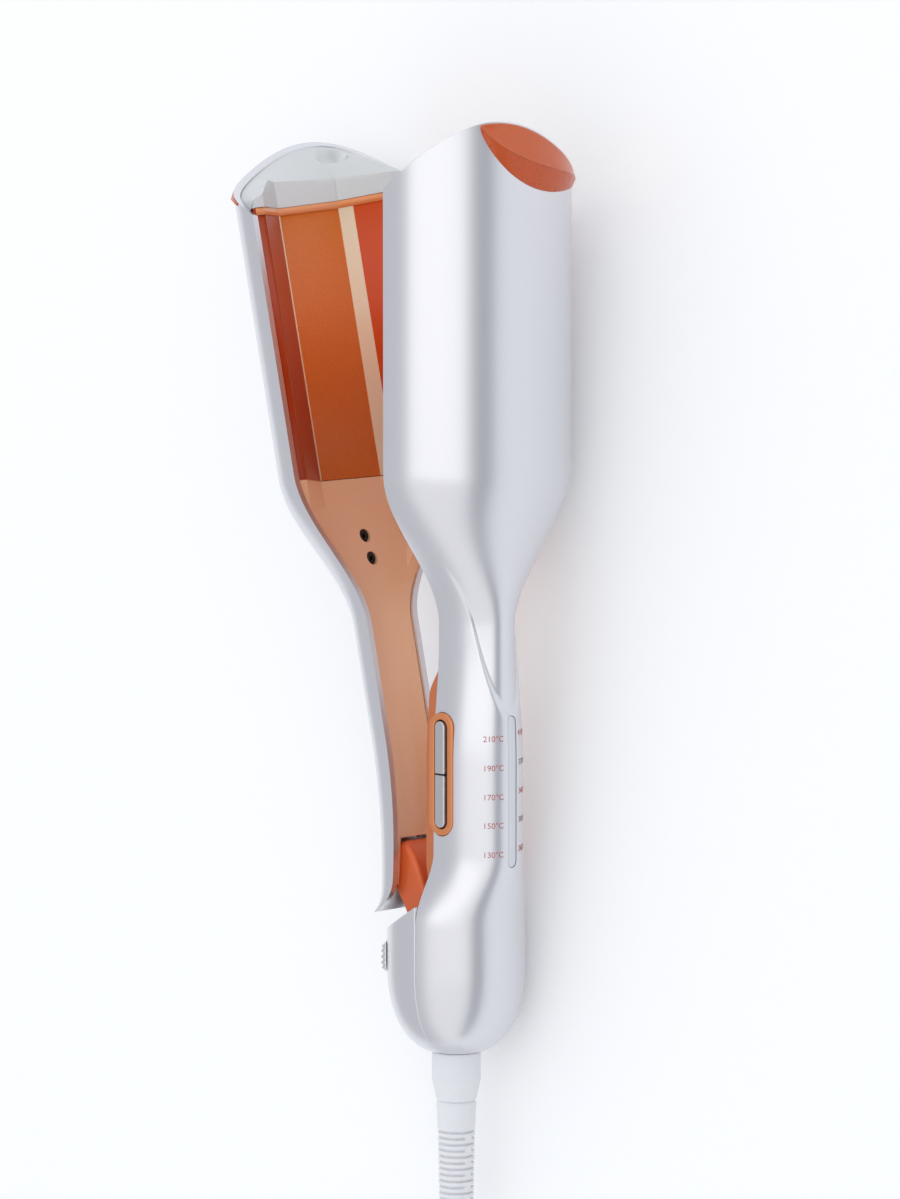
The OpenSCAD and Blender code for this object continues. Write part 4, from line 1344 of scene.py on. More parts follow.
def lens_skin(mid: float, reach: float, side: int, face: LensFace) -> Skin:
    """A leaf-shaped lens let into a barrel below its tip's edge.

    It hangs below the edge by the drop times the sine, to the power 0.75, of pi times the
    square of u, where u runs from 0 to 1 over the span of section angles. Its face bulges from
    edge to edge and has a fold a third of the way up, above which it tilts back.

    Args:
        mid: centre of the barrel's section.
        reach: its half axis along X.
        side: 1 for the fixed arm, -1 for the lever, which has the same lens turned half round.
        face: which side of the fold to make.

    Returns:
        That half of the lens, closed.
    """
    rows, columns = 97, 17
    u = (0.5 - 0.5 * np.cos(np.linspace(0, math.pi, rows)))[:, None]
    fold = LENS.fold_low + LENS.fold_swing * (1 - u)
    v = mix(*((0, fold) if face is LensFace.FOOT else (fold, 1)), np.linspace(0, 1, columns))
    angle = np.radians(mix(LENS.low_angle, LENS.high_angle, u))
    height = 1 + LENS.drop * np.clip(np.sin(math.pi * u ** 2), 0, None) ** LENS.plump
    ends = LENS.end_run * np.minimum(u, 1 - u) ** LENS.end_power
    inset = np.minimum(np.minimum(v, 1 - v) * height, ends)
    edge = np.sqrt(1 - (1 - np.clip(inset / LENS.edge_round, 0, 1)) ** 2)
    lift = np.where(v <= fold, v / fold, 1 - LENS.crown_fall * (v - fold) / (1 - fold))
    share = LENS.foot_proud + (1 - LENS.foot_proud) * lift
    proud = LENS.sunk + (LENS.rise - LENS.sunk) * edge * share

    def layer(out: Array) -> Array:
        """Places the lens's grid of points.

        Args:
            out: height above the barrel.

        Returns:
            The points.
        """
        x = mid + side * (reach + out) * np.cos(angle)
        z = side * (FORM.barrel_half + out) * np.sin(angle)
        top = FORM.tip_edge(x, z, side) - LENS.below_tip
        return np.stack([x, mix(top - height, top, v), z], axis=-1)

    front, rear = layer(proud), layer(np.full_like(proud, LENS.back_out))
    return wall_skin(np.concatenate([front, rear[:, ::-1]], axis=1))


@dataclass
class Controls(Maker):
    """Keys, surround, lamp window and the printed scale on the grip."""

    arm: FixedArm
    keys_l: float = 36.0
    keys_w: float = 4.4
    keys_top: float = 15.74
    keys_apart: float = 0.2
    bezel_l: float = 41.6
    bezel_w: float = 10.2
    bezel_low: float = 12.3
    bezel_top: float = 15.32
    slope: float = 0.0945
    foot_size: tuple[float, float] = (3.4, 18.6)
    lamp_cover: float = 1.8
    celsius: tuple[str, ...] = ("210", "190", "170", "150", "130")
    fahrenheit: tuple[str, ...] = ("410", "370", "340", "300", "260")
    scale_y: tuple[float, ...] = (70.6, 60.8, 51.0, 41.4, 31.6)
    letter_size: float = 2.75
    letter_radius: float = 15.5

    @property
    def middle(self) -> Array:
        """Middle of the keys in the XY plane."""
        return np.array([self.arm.bezel_x, self.arm.bezel_y])

    def make_surround(self) -> None:
        """The oval ring: a rounded section carried round a slot-shaped line.

        Its face tilts a little, so that it stays close to the grip on both sides.
        """
        inner, outer = self.keys_w / 2 + 0.5, self.bezel_w / 2
        section = rounded([[outer, self.bezel_low], [outer, self.bezel_top - 0.2],
                           [inner, self.bezel_top], [inner, self.bezel_low]], 0.8, 7)
        half = np.linspace(0, math.pi, 33)
        angle = np.concatenate([half, half + math.pi])[:, None]
        spine = np.repeat([1, -1], len(half))[:, None] * (self.bezel_l - self.bezel_w) / 2
        off, level = section[None, :, 0], section[None, :, 1]
        x = off * np.cos(angle)
        y = self.arm.bezel_y + spine + off * np.sin(angle)
        dish = -0.12 * np.exp(-((off - (inner + outer) / 2) / 0.9) ** 2)
        z = level + smooth((level - self.bezel_low) / 2.2) * (dish - self.slope * x)
        rows = np.stack([x + self.arm.bezel_x, y, z], axis=-1)
        skin = Skin(rows.reshape(-1, 3), grid_quads(len(angle), len(section), round_u=True))
        self.bench.piece("key_surround", skin, Arm.FIXED, self.finishes.surround,
                         ["button_bezel"], "orange_trim")
        well = stadium(self.bezel_l - 4, self.bezel_w - 4) + self.middle
        holes = [extruded(stadium(17.9, 4.7) + self.middle + [0, side * 9.2], 10, 16, 2)
                 for side in (-1, 1)]
        floor = self.bench.piece("key_well", extruded(well, 12.4, 13.6, 2), Arm.FIXED,
                                 self.finishes.dark, (), "dark_moulding")
        self.bench.cut(floor, holes, Arm.FIXED)

    def make_keys(self) -> None:
        """Two long keys, end to end, each with rounded edges, on a broad foot."""
        outline = stadium(self.keys_l, self.keys_w, 32)
        outline = outline[outline[:, 1] > 0]
        ends = [[side * self.keys_w / 2, self.keys_apart] for side in (1, -1)]
        outline = np.concatenate([ends[:1], outline, ends[1:]])
        outline = outline[np.argsort(np.arctan2(outline[:, 1] - 8, outline[:, 0]))]
        wide, long = self.foot_size
        foot = np.array([[-wide, 0.5], [wide, 0.5], [wide, long], [-wide, long]])
        for name, side, arm, node in (("key_raise_cap", 1, Arm.RAISE, "key_up"),
                                      ("key_lower_cap", -1, Arm.LOWER, "key_down")):
            skin = join_skins([extruded(flat * [1, side] + self.middle, low, top, 2)
                               for flat, low, top in ((outline, 10.6, self.keys_top),
                                                      (foot, 10.0, 11.0))])
            self.bench.piece(name, skin, arm, self.finishes.key, [node], "silver_shell",
                             bevel=0.55)

    def make_window(self) -> None:
        """The frosted strip over the lamps, following the grip's surface inside its slot."""
        length, width = self.arm.window_l, self.arm.window_w
        y = np.sin(np.linspace(-math.pi / 2, math.pi / 2, 121))[:, None] * length / 2
        beyond = np.clip(np.abs(y) - (length - width) / 2, 0, None)
        half = np.sqrt(np.clip((width / 2) ** 2 - beyond ** 2, 0.0004, None))
        v = np.linspace(-1, 1, 13)[None, :]
        station = y + self.arm.window_y + 0 * v
        front = self.arm.surface(station, np.degrees(np.arcsin(v * half / FORM.base_half(station))))
        front[..., 0] -= 0.14 + 0.16 * np.clip((np.abs(v) - 0.6) / 0.4, 0, 1) ** 2
        rear = front - [self.lamp_cover, 0, 0]
        self.bench.piece("scale_strip", wall_skin(np.concatenate([front, rear[:, ::-1]], axis=1)),
                         Arm.FIXED, self.finishes.diffuser, ["scale_window"], "diffuser")

    def make_scale(self) -> None:
        """Printed temperatures each side of the strip, wrapped on the grip's surface."""
        red, grey = self.finishes.red_ink, self.finishes.grey_ink
        for i, (y, celsius, fahrenheit) in enumerate(zip(self.scale_y, self.celsius,
                                                         self.fahrenheit)):
            self.print_text(f"scale_celsius_{i}", celsius + "°C", y, 27.5, red)
            self.print_text(f"scale_fahrenheit_{i}", fahrenheit + "°F", y + 1.4, -24.0,
                            grey if i % 2 else red)

    def print_text(self, name: str, words: str, y: float, angle: float,
                   ink: bpy.types.Material) -> None:
        """Prints a short text on the grip.

        Each point of the flat lettering goes to the surface at the angle that its distance along
        the line gives on a circle of the grip's mean radius.

        Args:
            name: the piece's name.
            words: the text.
            y: station of its middle.
            angle: section angle of its middle, in degrees.
            ink: its material.
        """
        curve = bpy.data.curves.new(name, "FONT")
        curve.body, curve.size, curve.resolution_u = words, self.letter_size, 4
        curve.align_x, curve.align_y = "CENTER", "CENTER"
        holder = link_object(name + "_text", curve)
        mesh = settled_mesh(holder)
        bpy.data.objects.remove(holder)
        bpy.data.curves.remove(curve)
        flat = np.empty(len(mesh.vertices) * 3)
        mesh.vertices.foreach_get("co", flat)
        flat = flat.reshape(-1, 3)
        around = angle - np.degrees(flat[:, 0] / self.letter_radius)
        spot = self.arm.surface(y + flat[:, 1], around, 0.03)
        mesh.vertices.foreach_set("co", self.bench.place(spot).ravel())
        mesh.update()
        obj = link_object(name, mesh)
        thick = obj.modifiers.new("ink", "SOLIDIFY")
        thick.thickness, thick.offset = 0.02 * MM, 1.0
        self.bench.finish(obj, Arm.FIXED, ink, (), "diffuser")

    def make(self) -> None:
        """Makes the controls."""
        self.make_surround()
        self.make_keys()
        self.make_window()
        self.make_scale()


@dataclass
class LeverArm(Maker):
    """The hinged arm with the trough-shaped plate."""

    liner_low: float = 19.0
    liner_wall: float = 1.8
    ramp_low: float = 112.0
    screw_y: tuple[float, ...] = (130.0, 138.0)
    screw_hole_r: float = 2.4
    lips_z: float = 31.5
    sheet: float = 2.0
    fold_steps: int = 7
    hump_half: float = 6.7
    tongue_half: float = 3.3
    drum_half: float = 8.6
    drum_r: float = 5.4
    pin_hole_r: float = 2.05
    dimple_at: tuple[float, float] = (-23.4, -19.3)
    dimple_size: tuple[float, float] = (3.0, 7.0)
    dimple_slant: float = 0.43
    dimple_depth: float = 4.0
    cap_edge: float = 0.5
    cap_dome: float = 0.8
    front_rise: float = 10.4
    front_fall: float = 7.5
    fall_from: float = 19.0
    fall_run: float = 18.0

    def make_shell(self) -> None:
        """The lever's outer shell, from its pointed lower end to the oblique tip."""
        level = np.concatenate([body_stations(FORM.lever_end, 26, 0.6),
                                body_stations(26, FORM.level_top, 1.25)[1:]])
        y = np.concatenate([level, body_stations(FORM.level_top, FORM.tip_y, 2.5)[1:]])
        rim = FORM.lever_rim(y)
        rows = arm_wall(y, rim, rim - FORM.lever_back(y), FORM.lever_half(y), rim, -1)
        self.bench.piece("lever_cover", wall_skin(to_tip(rows, len(level) - 1, -1)), Arm.LEVER,
                         self.finishes.silver, ["lever_shell"], "silver_shell", bevel=0.5)

    def inner_half(self, y: Array, depth: float) -> Array:
        """Half width inside the shell at a depth behind its rim, from the ellipse's equation."""
        room = FORM.lever_rim(y) - FORM.lever_back(y) - FORM.wall
        return (FORM.lever_half(y) - FORM.wall) * np.sqrt(1 - (depth / room) ** 2) - 0.15

    def trough_rows(self, y: Array) -> Array:
        """The liner's sections, a shallow dish on the handle that deepens into the trough.

        Args:
            y: stations.

        Returns:
            The sections, one to a row.
        """
        r = FORM.lever_rim(y) - 1
        h, k = self.inner_half(y, 1.0), self.inner_half(y, 4.0)
        b = smooth((y - self.ramp_low) / (FORM.plate_y - self.ramp_low))
        t = self.liner_wall
        f = mix(h * 0.82, FORM.trough_half, b)
        d = mix(1.8, FORM.trough_depth - 1, b)
        g = mix(h * 0.5, FORM.floor_half, b)
        face = [(r - 3, k), (r, h), (r, f), (r - d, g)]
        rear = [(r - 3, k - t * 0.7), (r - t - 0.3, k - t * 0.8),
                (r - t, np.minimum(f, k - t) - 0.8), (r - d - t, g - 0.9)]
        return folded_rows(y, face, rear)

    def make_frame(self) -> None:
        """The copper liner of the handle, with a slot for the hump and the two screws' holes."""
        y = body_stations(self.liner_low, FORM.plate_y, 1.5)
        # The liner's paler copper is painted light, for the shade deep in the tray.
        liner = self.bench.piece("lever_liner", wall_skin(self.trough_rows(y)), Arm.LEVER,
                                 self.finishes.liner, ["lever_frame"], "copper_tray", bevel=0.6)
        slot = np.array([[-40, 10], [-40, 36], [-15, 34.3], [0, 27], [0, 10]], float)
        tools = [extruded(slot, -self.hump_half - 0.2, self.hump_half + 0.2, 2)]
        for at in self.screw_y:
            hole = circle(self.screw_hole_r, (at, 0.0), 32)
            tools.append(tube_skin(np.stack([np.insert(hole, 0, x, axis=1) for x in (-30, -5)])))
        self.bench.cut(liner, tools, Arm.LEVER)
        rail = rounded([[-8.07, 35.6], [-8.07, 31.7], [-11.03, 31.7], [-12.8, 27.9],
                        [-14.1, 27.9], [-14.1, 33.7]], 0.25, 3)
        # The rails take the near flank's darker red, painted shade.
        self.add_rails("liner", rail, Arm.LEVER, self.finishes.flank_painted_shade, "lever_rails",
                       (FORM.plate_y + 0.05, FORM.plate_top), -FORM.plate_lean)

    def plate_outline(self) -> Array:
        """Draws the trough-shaped sheet with its folds rounded.

        Returns:
            The outline, its face first.
        """
        lip, deep, t = FORM.rim_gap + 1, FORM.rim_gap + FORM.trough_depth, self.sheet
        lips, floor = self.lips_z, FORM.floor_half
        face = [[-lip, lips], [-deep, floor], [-deep, -floor], [-lip, -lips]]
        rear = [[-lip - t - 0.2, -lips], [-deep - t, -floor - 0.5], [-deep - t, floor + 0.5],
                [-lip - t - 0.2, lips]]
        return fillets(face + rear, (0.3, 2.0, 2.0, 0.3, 0.3, 3.2, 3.2, 0.3), self.fold_steps)

    def dress_face(self, name: str, span: tuple[float, float], below: tuple[float, float],
                   proud: float, finish: bpy.types.Material) -> None:
        """Coats a part of the plate's face with a thin skin that follows its folds; the coats carry
        the plate's painted shade, light and highlight.

        Args:
            name: the piece's name.
            span: its edges across the plate, in Z.
            below: how far under the plate's leaning upper end it starts and stops.
            proud: height of the coat above the sheet.
            finish: its material.
        """
        line = self.plate_outline()[:4 * self.fold_steps]
        z = np.linspace(*span, 90)
        x = np.interp(z, line[::-1, 1], line[::-1, 0])
        x[np.abs(z) > self.lips_z - 0.3] = -FORM.rim_gap - 1.0
        outline = np.concatenate([np.stack([x + proud, z], axis=-1),
                                  np.stack([x - 0.2, z], axis=-1)[::-1]])
        lean = FORM.plate_lean * outline[:, 1]
        rows = [np.insert(outline, 1, FORM.plate_top - 0.05 - drop - lean, axis=1)
                for drop in below]
        rows[0][:, 1] = np.maximum(rows[0][:, 1], FORM.plate_y + 0.3)
        self.bench.piece(name, tube_skin(np.stack(rows)), Arm.LEVER, finish, (), "copper_plate")

    def make_plate(self) -> None:
        """The trough-shaped heating plate: its floor, painted shade and painted light on its
        flanks, and painted highlight on its folds and on the band on top.
        """
        f = self.finishes
        skin = extruded(self.plate_outline(), FORM.plate_y + FORM.plate_gap,
                        FORM.plate_top - 0.05, 1, -FORM.plate_lean)
        self.bench.piece("trough_plate", skin, Arm.LEVER, f.ceramic, ["lever_plate"],
                         "copper_plate")
        whole = (200.0, 2.0)
        # Painted shade on the near flank, painted light on the far flank, painted highlight on the
        # folds and the band.
        for name, span, below, proud, finish in (
                ("near_flank_painted_shade", (14.6, 31.4), whole, 0.06, f.flank_painted_shade),
                ("near_fold_painted_highlight", (13.7, 14.6), whole, 0.1, f.fold),
                ("far_fold_painted_highlight", (-18.6, -14.2), whole, 0.1, f.fold),
                ("far_flank_painted_light", (-31.4, -18.6), whole, 0.06, f.far_flank_painted_light),
                ("plate_band_painted_highlight", (-35.2, 35.2), (2.5, 0.0), 0.2, f.band_painted_highlight)):
            self.dress_face(name, span, below, proud, finish)

    def make_cap(self) -> None:
        """The lever's tip cap: the trough runs on through it to its end face.

        The end face runs from the shell's edge to the trough's end and is a little domed. An oval
        dimple along its back edge is pressed into it by a smooth step of the distance.
        """
        a = np.radians(np.linspace(98, 262, 161))
        arc = np.stack([-FORM.rim_gap + (FORM.lever_depth - FORM.cap_gap) * np.cos(a),
                        (FORM.barrel_half - FORM.cap_gap) * np.sin(a)], axis=-1)
        front = np.stack([self.trough_x(arc[:, 1]), arc[:, 1]], axis=-1)
        wide, long = self.dimple_size

        def top(x: Array, z: Array, share: Array) -> Array:
            """Shapes the end face.

            Args:
                x: place along X.
                z: place along Z.
                share: way from the shell's edge to the trough's end, 0 to 1.

            Returns:
                The heights.
            """
            behind = FORM.tip_edge(arc[None, :, 0], arc[None, :, 1], -1) - self.cap_edge
            fall = self.front_fall * smooth((z - self.fall_from) / self.fall_run)
            ahead = FORM.tip_y + self.front_rise - fall
            u, w = x - self.dimple_at[0], z - self.dimple_at[1]
            away = np.hypot((u + self.dimple_slant * w) / wide, (w - self.dimple_slant * u) / long)
            bowl = 1 - smooth((away - 0.5) / 0.5)
            crown = self.cap_dome * np.sin(math.pi * share)
            return mix(behind, ahead, share) + crown - self.dimple_depth * bowl

        skin = block_skin(arc, front, lambda z: FORM.plate_top + 0.1 - FORM.plate_lean * z, top,
                          25)
        self.bench.piece("lever_tip_cap", skin, Arm.LEVER, self.finishes.satin_silver,
                         ["lever_end_cap"], "silver_shell", bevel=0.7, bevel_angle=38)

    @staticmethod
    def trough_x(z: Array) -> Array:
        """X of the trough's face: a flat floor, two straight flanks and flat lips."""
        t = (FORM.trough_half - np.abs(z)) / (FORM.trough_half - FORM.floor_half)
        return -FORM.rim_gap - mix(0.6, FORM.trough_depth, np.clip(t, 0, 1))

    def make_knuckle(self) -> None:
        """The rounded hump that carries the lever on the hinge pin, with a drum on each side."""
        corners = [[-17.4, 0.5], [-21, 13], [-25, 22], [-22.4, 30], [-15.6, 34.5], [-11, 28],
                   [-8.2, 14], [-6.6, 1.0]]
        body = extruded(rounded(corners, 4.0, 6), -self.hump_half, self.hump_half, 2)
        hump = self.bench.piece("hinge_hump", body, Arm.LEVER, self.finishes.hump,
                                ["lever_knuckle"], "copper_tray", bevel=2.2, bevel_angle=50)
        gap = np.array([[-26, -8], [-4, -8], [-4, 12.5], [-26, 12.5]], float)
        near, far, pin = self.tongue_half, self.drum_half, (-FORM.hinge_x, 0.0)
        self.bench.cut(hump, [extruded(gap, -near, near, 2)], Arm.LEVER)
        bore = extruded(circle(self.pin_hole_r, pin, 48), -20, 20, 2)
        for name, span in (("hinge_drum_upper", (near, far)), ("hinge_drum_lower", (-far, -near))):
            drum = extruded(circle(self.drum_r, pin, 48), *span, 2)
            ring = self.bench.piece(name, drum, Arm.LEVER, self.finishes.copper,
                                    ["lever_knuckle"], "copper_tray", bevel=0.5)
            self.bench.cut(ring, [bore], Arm.LEVER)

    def make(self) -> None:
        """Makes every piece of the lever."""
        self.make_shell()
        self.make_frame()
        self.make_plate()
        self.make_cap()
        self.add_lens("lever", Arm.LEVER, "lever_accent", -FORM.rim_gap, FORM.lever_depth, -1)
        self.make_knuckle()


@dataclass
class JawLock(Maker):
    """The thumb slide on the foot's back."""

    length: float = 10.0
    start: float = -1.5
    half_angle: float = 17.0
    ridges: int = 5

    def make(self) -> None:
        """A curved pad with cross ridges, on a stem that runs in the cover's slot."""
        u, v = np.linspace(0, 1, 81)[:, None], np.linspace(-1, 1, 25)[None, :]
        y = self.start - self.length * (1 - u) + 0 * v
        edge = np.clip(np.minimum(u, 1 - u) * 8, 0, 1) * np.clip((1 - np.abs(v)) * 6, 0, 1)
        waves = np.cos(2 * math.pi * self.ridges * (u - 0.5))
        ridge = 0.32 * waves * np.clip((0.36 - np.abs(u - 0.5)) * 20, 0, 1)
        height = 0.45 + (1.25 + ridge) * smooth(edge)
        a = math.pi - math.radians(FORM.lock_angle) + np.radians(self.half_angle * v)
        front, rear = (round_foot(FORM.foot_r + out, y, a) for out in (height, 0.3 + 0 * height))
        pad = wall_skin(np.concatenate([front, rear[:, ::-1]], axis=1))
        stem, shoe = (
            lock_prism(np.array([[low, -half], [top, -half], [top, half], [low, half]]),
                       FORM.foot_r + near, FORM.foot_r + far)
            for near, far, low, top, half in ((-5.0, 0.6, -9.1, -1.5, 1.4),
                                              (-5.6, -4.2, -10.1, -0.9, 3.4)))
        self.bench.piece("lock_slide", join_skins([pad, stem, shoe]), Arm.LOCK,
                         self.finishes.silver, ["lock_slider"], "silver_shell")


@dataclass
class CordOutlet(Maker):
    """Swivel collar, ribbed strain relief, mains cord, coil, tie and plug."""

    relief_y: float = -53.5
    relief_l: float = 44.0
    collar_r: float = 8.3
    relief_r: float = 6.3
    bore_r: float = 2.4
    slit_pitch: float = 2.1
    slit_first: float = 10.4
    slit_count: int = 13
    slit_depth: float = 1.5
    cord_d: float = 6.0
    coil_at: tuple[float, float] = (-20.0, -252.0)
    coil_in: float = 24.2
    coil_pitch: float = 6.05
    coil_turns: float = 3.5
    coil_lift: float = 0.5
    plug_l: float = 36.0
    plug_half_w: float = 17.5
    plug_half_t: float = 6.8
    plug_offset: float = 74.0
    tie_half: float = 3.9

    @property
    def cord_y(self) -> float:
        """Where the cord leaves the strain relief, along the tool."""
        return self.relief_y - self.relief_l - 2

    @property
    def plug_at(self) -> Array:
        """Where the tail enters the plug, in the row frame."""
        return np.array([-22.0, self.coil_at[1] - self.plug_offset, 7.0])

    def make_collar(self) -> None:
        """The swivel's smooth collar, a rounded profile turned round the foot's axis."""
        top, low = FORM.shell_end - 0.5, self.relief_y
        r, bore = self.collar_r, self.bore_r
        profile = rounded([[4.03, low - 2], [6.8, low - 2], [7.2, low + 0.4], [r - 0.4, low + 3.4],
                           [r, low + 5], [r, top], [6.0, top], [6.0, -30.7], [7.6, -30.7],
                           [7.6, -29], [4.6, -28], [4.6, -18.6], [bore, -18.6], [bore, -42],
                           [4.03, -42]], 0.7, 5)
        self.bench.piece("cord_collar", revolve_skin(profile, 128), Arm.SWIVEL,
                         self.finishes.elastomer, ["swivel_collar"], "cord_jacket")

    def make_relief(self) -> None:
        """The ribbed sleeve.

        The radius is the sleeve's taper less a slit's depth. Slits follow each other at an even
        pitch; every second one is split by two bridges, as a flexing sleeve has them.
        """
        rows, columns = 441, 112
        y = np.linspace(self.relief_y - 2.1, self.cord_y, rows)[:, None]
        a = np.linspace(0, 2 * math.pi, columns, endpoint=False)[None, :]
        along, end = y[0] - y, self.relief_l
        taper = np.interp(along, [0, 0.8, 5, 11, end - 6, end - 1.2, end - 0.1],
                          [6.2, 6.75, 6.6, self.relief_r, self.relief_r - 0.5, 4.6, 4.2])
        phase = (along - self.slit_first) / self.slit_pitch
        index = np.floor(phase + 0.5)
        near = np.abs(phase - index) * self.slit_pitch
        slit = np.where((index >= 0) & (index < self.slit_count),
                        1 - smooth((near - 0.26) / 0.24), 0)
        bridge = np.where(np.mod(index, 2) == 0, 1.0, smooth((np.abs(np.sin(a)) - 0.2) / 0.12))
        hole = np.full((1, columns), self.bore_r)
        r = np.concatenate([hole, taper - self.slit_depth * slit * bridge, hole])
        points = round_foot(r, np.concatenate([y[:1], y, y[-1:]]), a)
        skin = Skin(points.reshape(-1, 3), grid_quads(rows + 2, columns, round_u=True))
        self.bench.piece("ribbed_relief", skin, Arm.SWIVEL, self.finishes.elastomer,
                         ["strain_relief"], "cord_jacket")

    def coil_points(self) -> Array:
        """Centreline of the coil: a flat spiral in, a step up, and the same spiral out on top.

        Returns:
            Its points in the row frame, in millimetres.
        """
        turns = np.linspace(0, 2 * self.coil_turns, int(2 * self.coil_turns * 28) + 1)
        radius = self.coil_in + np.abs(self.coil_turns - turns) * self.coil_pitch
        a = -2 * math.pi * turns
        low = self.cord_d / 2 + self.coil_lift
        z = low + self.cord_d * smooth((turns - self.coil_turns + 0.25) / 0.5)
        return np.stack([self.coil_at[0] + radius * np.cos(a),
                         self.coil_at[1] + radius * np.sin(a), z], axis=-1)

    def route(self) -> Array:
        """The whole centreline: run, coil and tail.

        Returns:
            Its points in the row frame, in millimetres.
        """
        straight = [self.bench.place(np.array([FORM.foot_x, self.cord_y - s, 0])) / MM
                    for s in (0, 8)]
        coil, (x, y), cy = self.coil_points(), straight[0][:2], self.coil_at[1]
        run = np.array([*straight, [x, y - 16, 10.6], [x, y - 26, 8.0], [x + 1, y - 36, 5.6],
                        [25.4, y - 48, 4.0], coil[0]])
        tail = np.array([coil[-1], [24, cy - 16, 9.2], [19, cy - 34, 8.6], [11, cy - 52, 7.8],
                         [-1, cy - 67, 7.2], [-14, cy - 73.6, 7.0], self.plug_at + [3, 0, 0],
                         self.plug_at])
        return np.concatenate([through(run, 4)[:-1], coil, through(tail, 4)[1:]])

    def make_cord(self) -> None:
        """The mains cord in one length, from the strain relief through its coil to the plug."""
        points = self.route() * MM
        curve = bpy.data.curves.new("mains_cord", "CURVE")
        curve.dimensions = "3D"
        curve.bevel_depth, curve.bevel_resolution = self.cord_d / 2 * MM, 5
        curve.use_fill_caps = True
        spline = curve.splines.new("POLY")
        spline.points.add(len(points) - 1)
        spline.points.foreach_set("co", np.insert(points, 3, 1.0, axis=1).ravel())
        spline.use_smooth = True
        cord = self.bench.finish(link_object("mains_cord", curve), Arm.FIXED, self.finishes.cable,
                                 ["cord", "cord_coil", "cord_tail"], "cord_jacket")

    def make_plug(self) -> None:
        """The flat moulded plug: a tapered neck and a rounded body with grip ridges.

        Its sections are superellipses whose power grows from 2 on the neck to 4.5 on the body.
        """
        rows, columns = 61, 72
        s = np.linspace(0, self.plug_l, rows)[:, None]
        a = np.linspace(0, 2 * math.pi, columns, endpoint=False)[None, :]
        grow = smooth((s - 9) / 8)
        wide = mix(4.0 + 0.13 * np.minimum(s, 12), self.plug_half_w, grow)
        thick = mix(4.0 + 0.1 * np.minimum(s, 12), self.plug_half_t, grow)
        end = np.clip((self.plug_l - s) / 1.2, 0, 1)
        close = 1.2 * np.sqrt(1 - (1 - end) ** 2) - 1.2
        c, n, power = np.cos(a), np.sin(a), mix(2.0, 4.5, grow)
        reach = (np.abs(c) ** power + np.abs(n) ** power) ** (-1 / power)
        ridged = smooth((s - 18) / 2) * smooth((31 - s) / 2) * np.abs(c) ** 6
        ridges = -0.35 * np.clip(np.cos(2 * math.pi * (s - 20) / 3), 0, 1) * ridged
        x, y, z = self.plug_at
        points = np.stack([x - s + 0 * a, y - (wide + close + ridges) * reach * c,
                           z + (thick + close) * reach * n], axis=-1)
        self.bench.piece("moulded_plug", tube_skin(points), Arm.FIXED, self.finishes.cable,
                         ["plug_body"], "cord_jacket", in_row=True)

    def make_tie(self) -> None:
        """A soft strap wound once round the coil's section."""
        half = (self.coil_turns * self.coil_pitch + self.cord_d) / 2
        mid = self.coil_at[0] - self.coil_in - self.coil_turns * self.coil_pitch / 2
        high = 2 * self.cord_d

        def loop(left: float, right: float, low: float, top: float, radius: float) -> Array:
            """A rounded loop that clears the coil by the given gaps."""
            left, right, top = -half - left, half + right, high + top
            return rounded([[left, low], [right, low], [right, top], [left, top]], radius, 8)

        outer, inner = loop(0.7, 0.5, 0.25, 1.2, 4.0), loop(0.2, 0.1, 0.45, 0.7, 3.8)
        rows = np.stack([np.insert(path + [mid, 0], 1, self.coil_at[1] + side * self.tie_half,
                                   axis=1)
                         for path, side in ((outer, -1), (outer, 1), (inner, 1), (inner, -1))])
        skin = Skin(rows.reshape(-1, 3), grid_quads(4, rows.shape[1], round_u=True))
        self.bench.piece("cable_tie", skin, Arm.FIXED, self.finishes.dark, ["cord_tie"],
                         "dark_moulding", in_row=True)

    def make(self) -> None:
        """Makes the outlet, with the cord after the pieces that lie on it."""
        self.make_plug()
        self.make_tie()
        self.make_cord()
        self.make_collar()
        self.make_relief()


def through(points: Array, steps: int) -> Array:
    """A smooth curve through given points, by the centripetal form of Catmull and Rom.

    Args:
        points: the points to pass.
        steps: points to a span.

    Returns:
        The curve's points, the given ones among them.
    """
    p = np.concatenate([[2 * points[0] - points[1]], points, [2 * points[-1] - points[-2]]])
    t = np.linspace(0, 1, steps, endpoint=False)[None, :, None]
    a, b, c, d = (p[i:len(p) - 3 + i][:, None] for i in range(4))
    curve = 0.5 * (2 * b + (c - a) * t + (2 * a - 5 * b + 4 * c - d) * t ** 2
                   + (3 * b - a - 3 * c + d) * t ** 3)
    return np.concatenate([curve.reshape(-1, 3), points[-1:]])


@dataclass
class Inner:
    """CAD nodes that keep their own shape: only their finish is made here."""

    finishes: Finishes
    frame: dict

    def dress(self) -> None:
        """Gives each kept node the material of what it is made of."""
        f = self.finishes
        groups = {
            f.dark: ("hinge_bracket", "tact_switches", "board_parts"),
            # The lever's screws take the darkened steel, painted shade of their recesses.
            f.screw_painted_shade: ("lever_screws",),
            f.steel: ("hinge_pin", "return_spring", "hinge_screws", "board_screws", "lock_detent",
                      "base_heater_clip", "lever_heater_clip"),
            f.nylon: ("hinge_washers", "swivel_socket", "base_heater", "lever_heater"),
            f.laminate: ("circuit_board", "display_board"),
            f.lamp: ("display_lamps",),
            f.brass: ("swivel_rings", "swivel_brushes", "plug_pins"),
            f.wire: ("base_leads", "lever_leads", "base_sensor", "lever_sensor"),
        }
        for material, nodes in groups.items():
            for node in nodes:
                obj = self.frame["nodes"][node]
                obj.data.materials.clear()
                obj.data.materials.append(material)
                LOG.info("%s keeps its shape, finish %s", node, material.name)


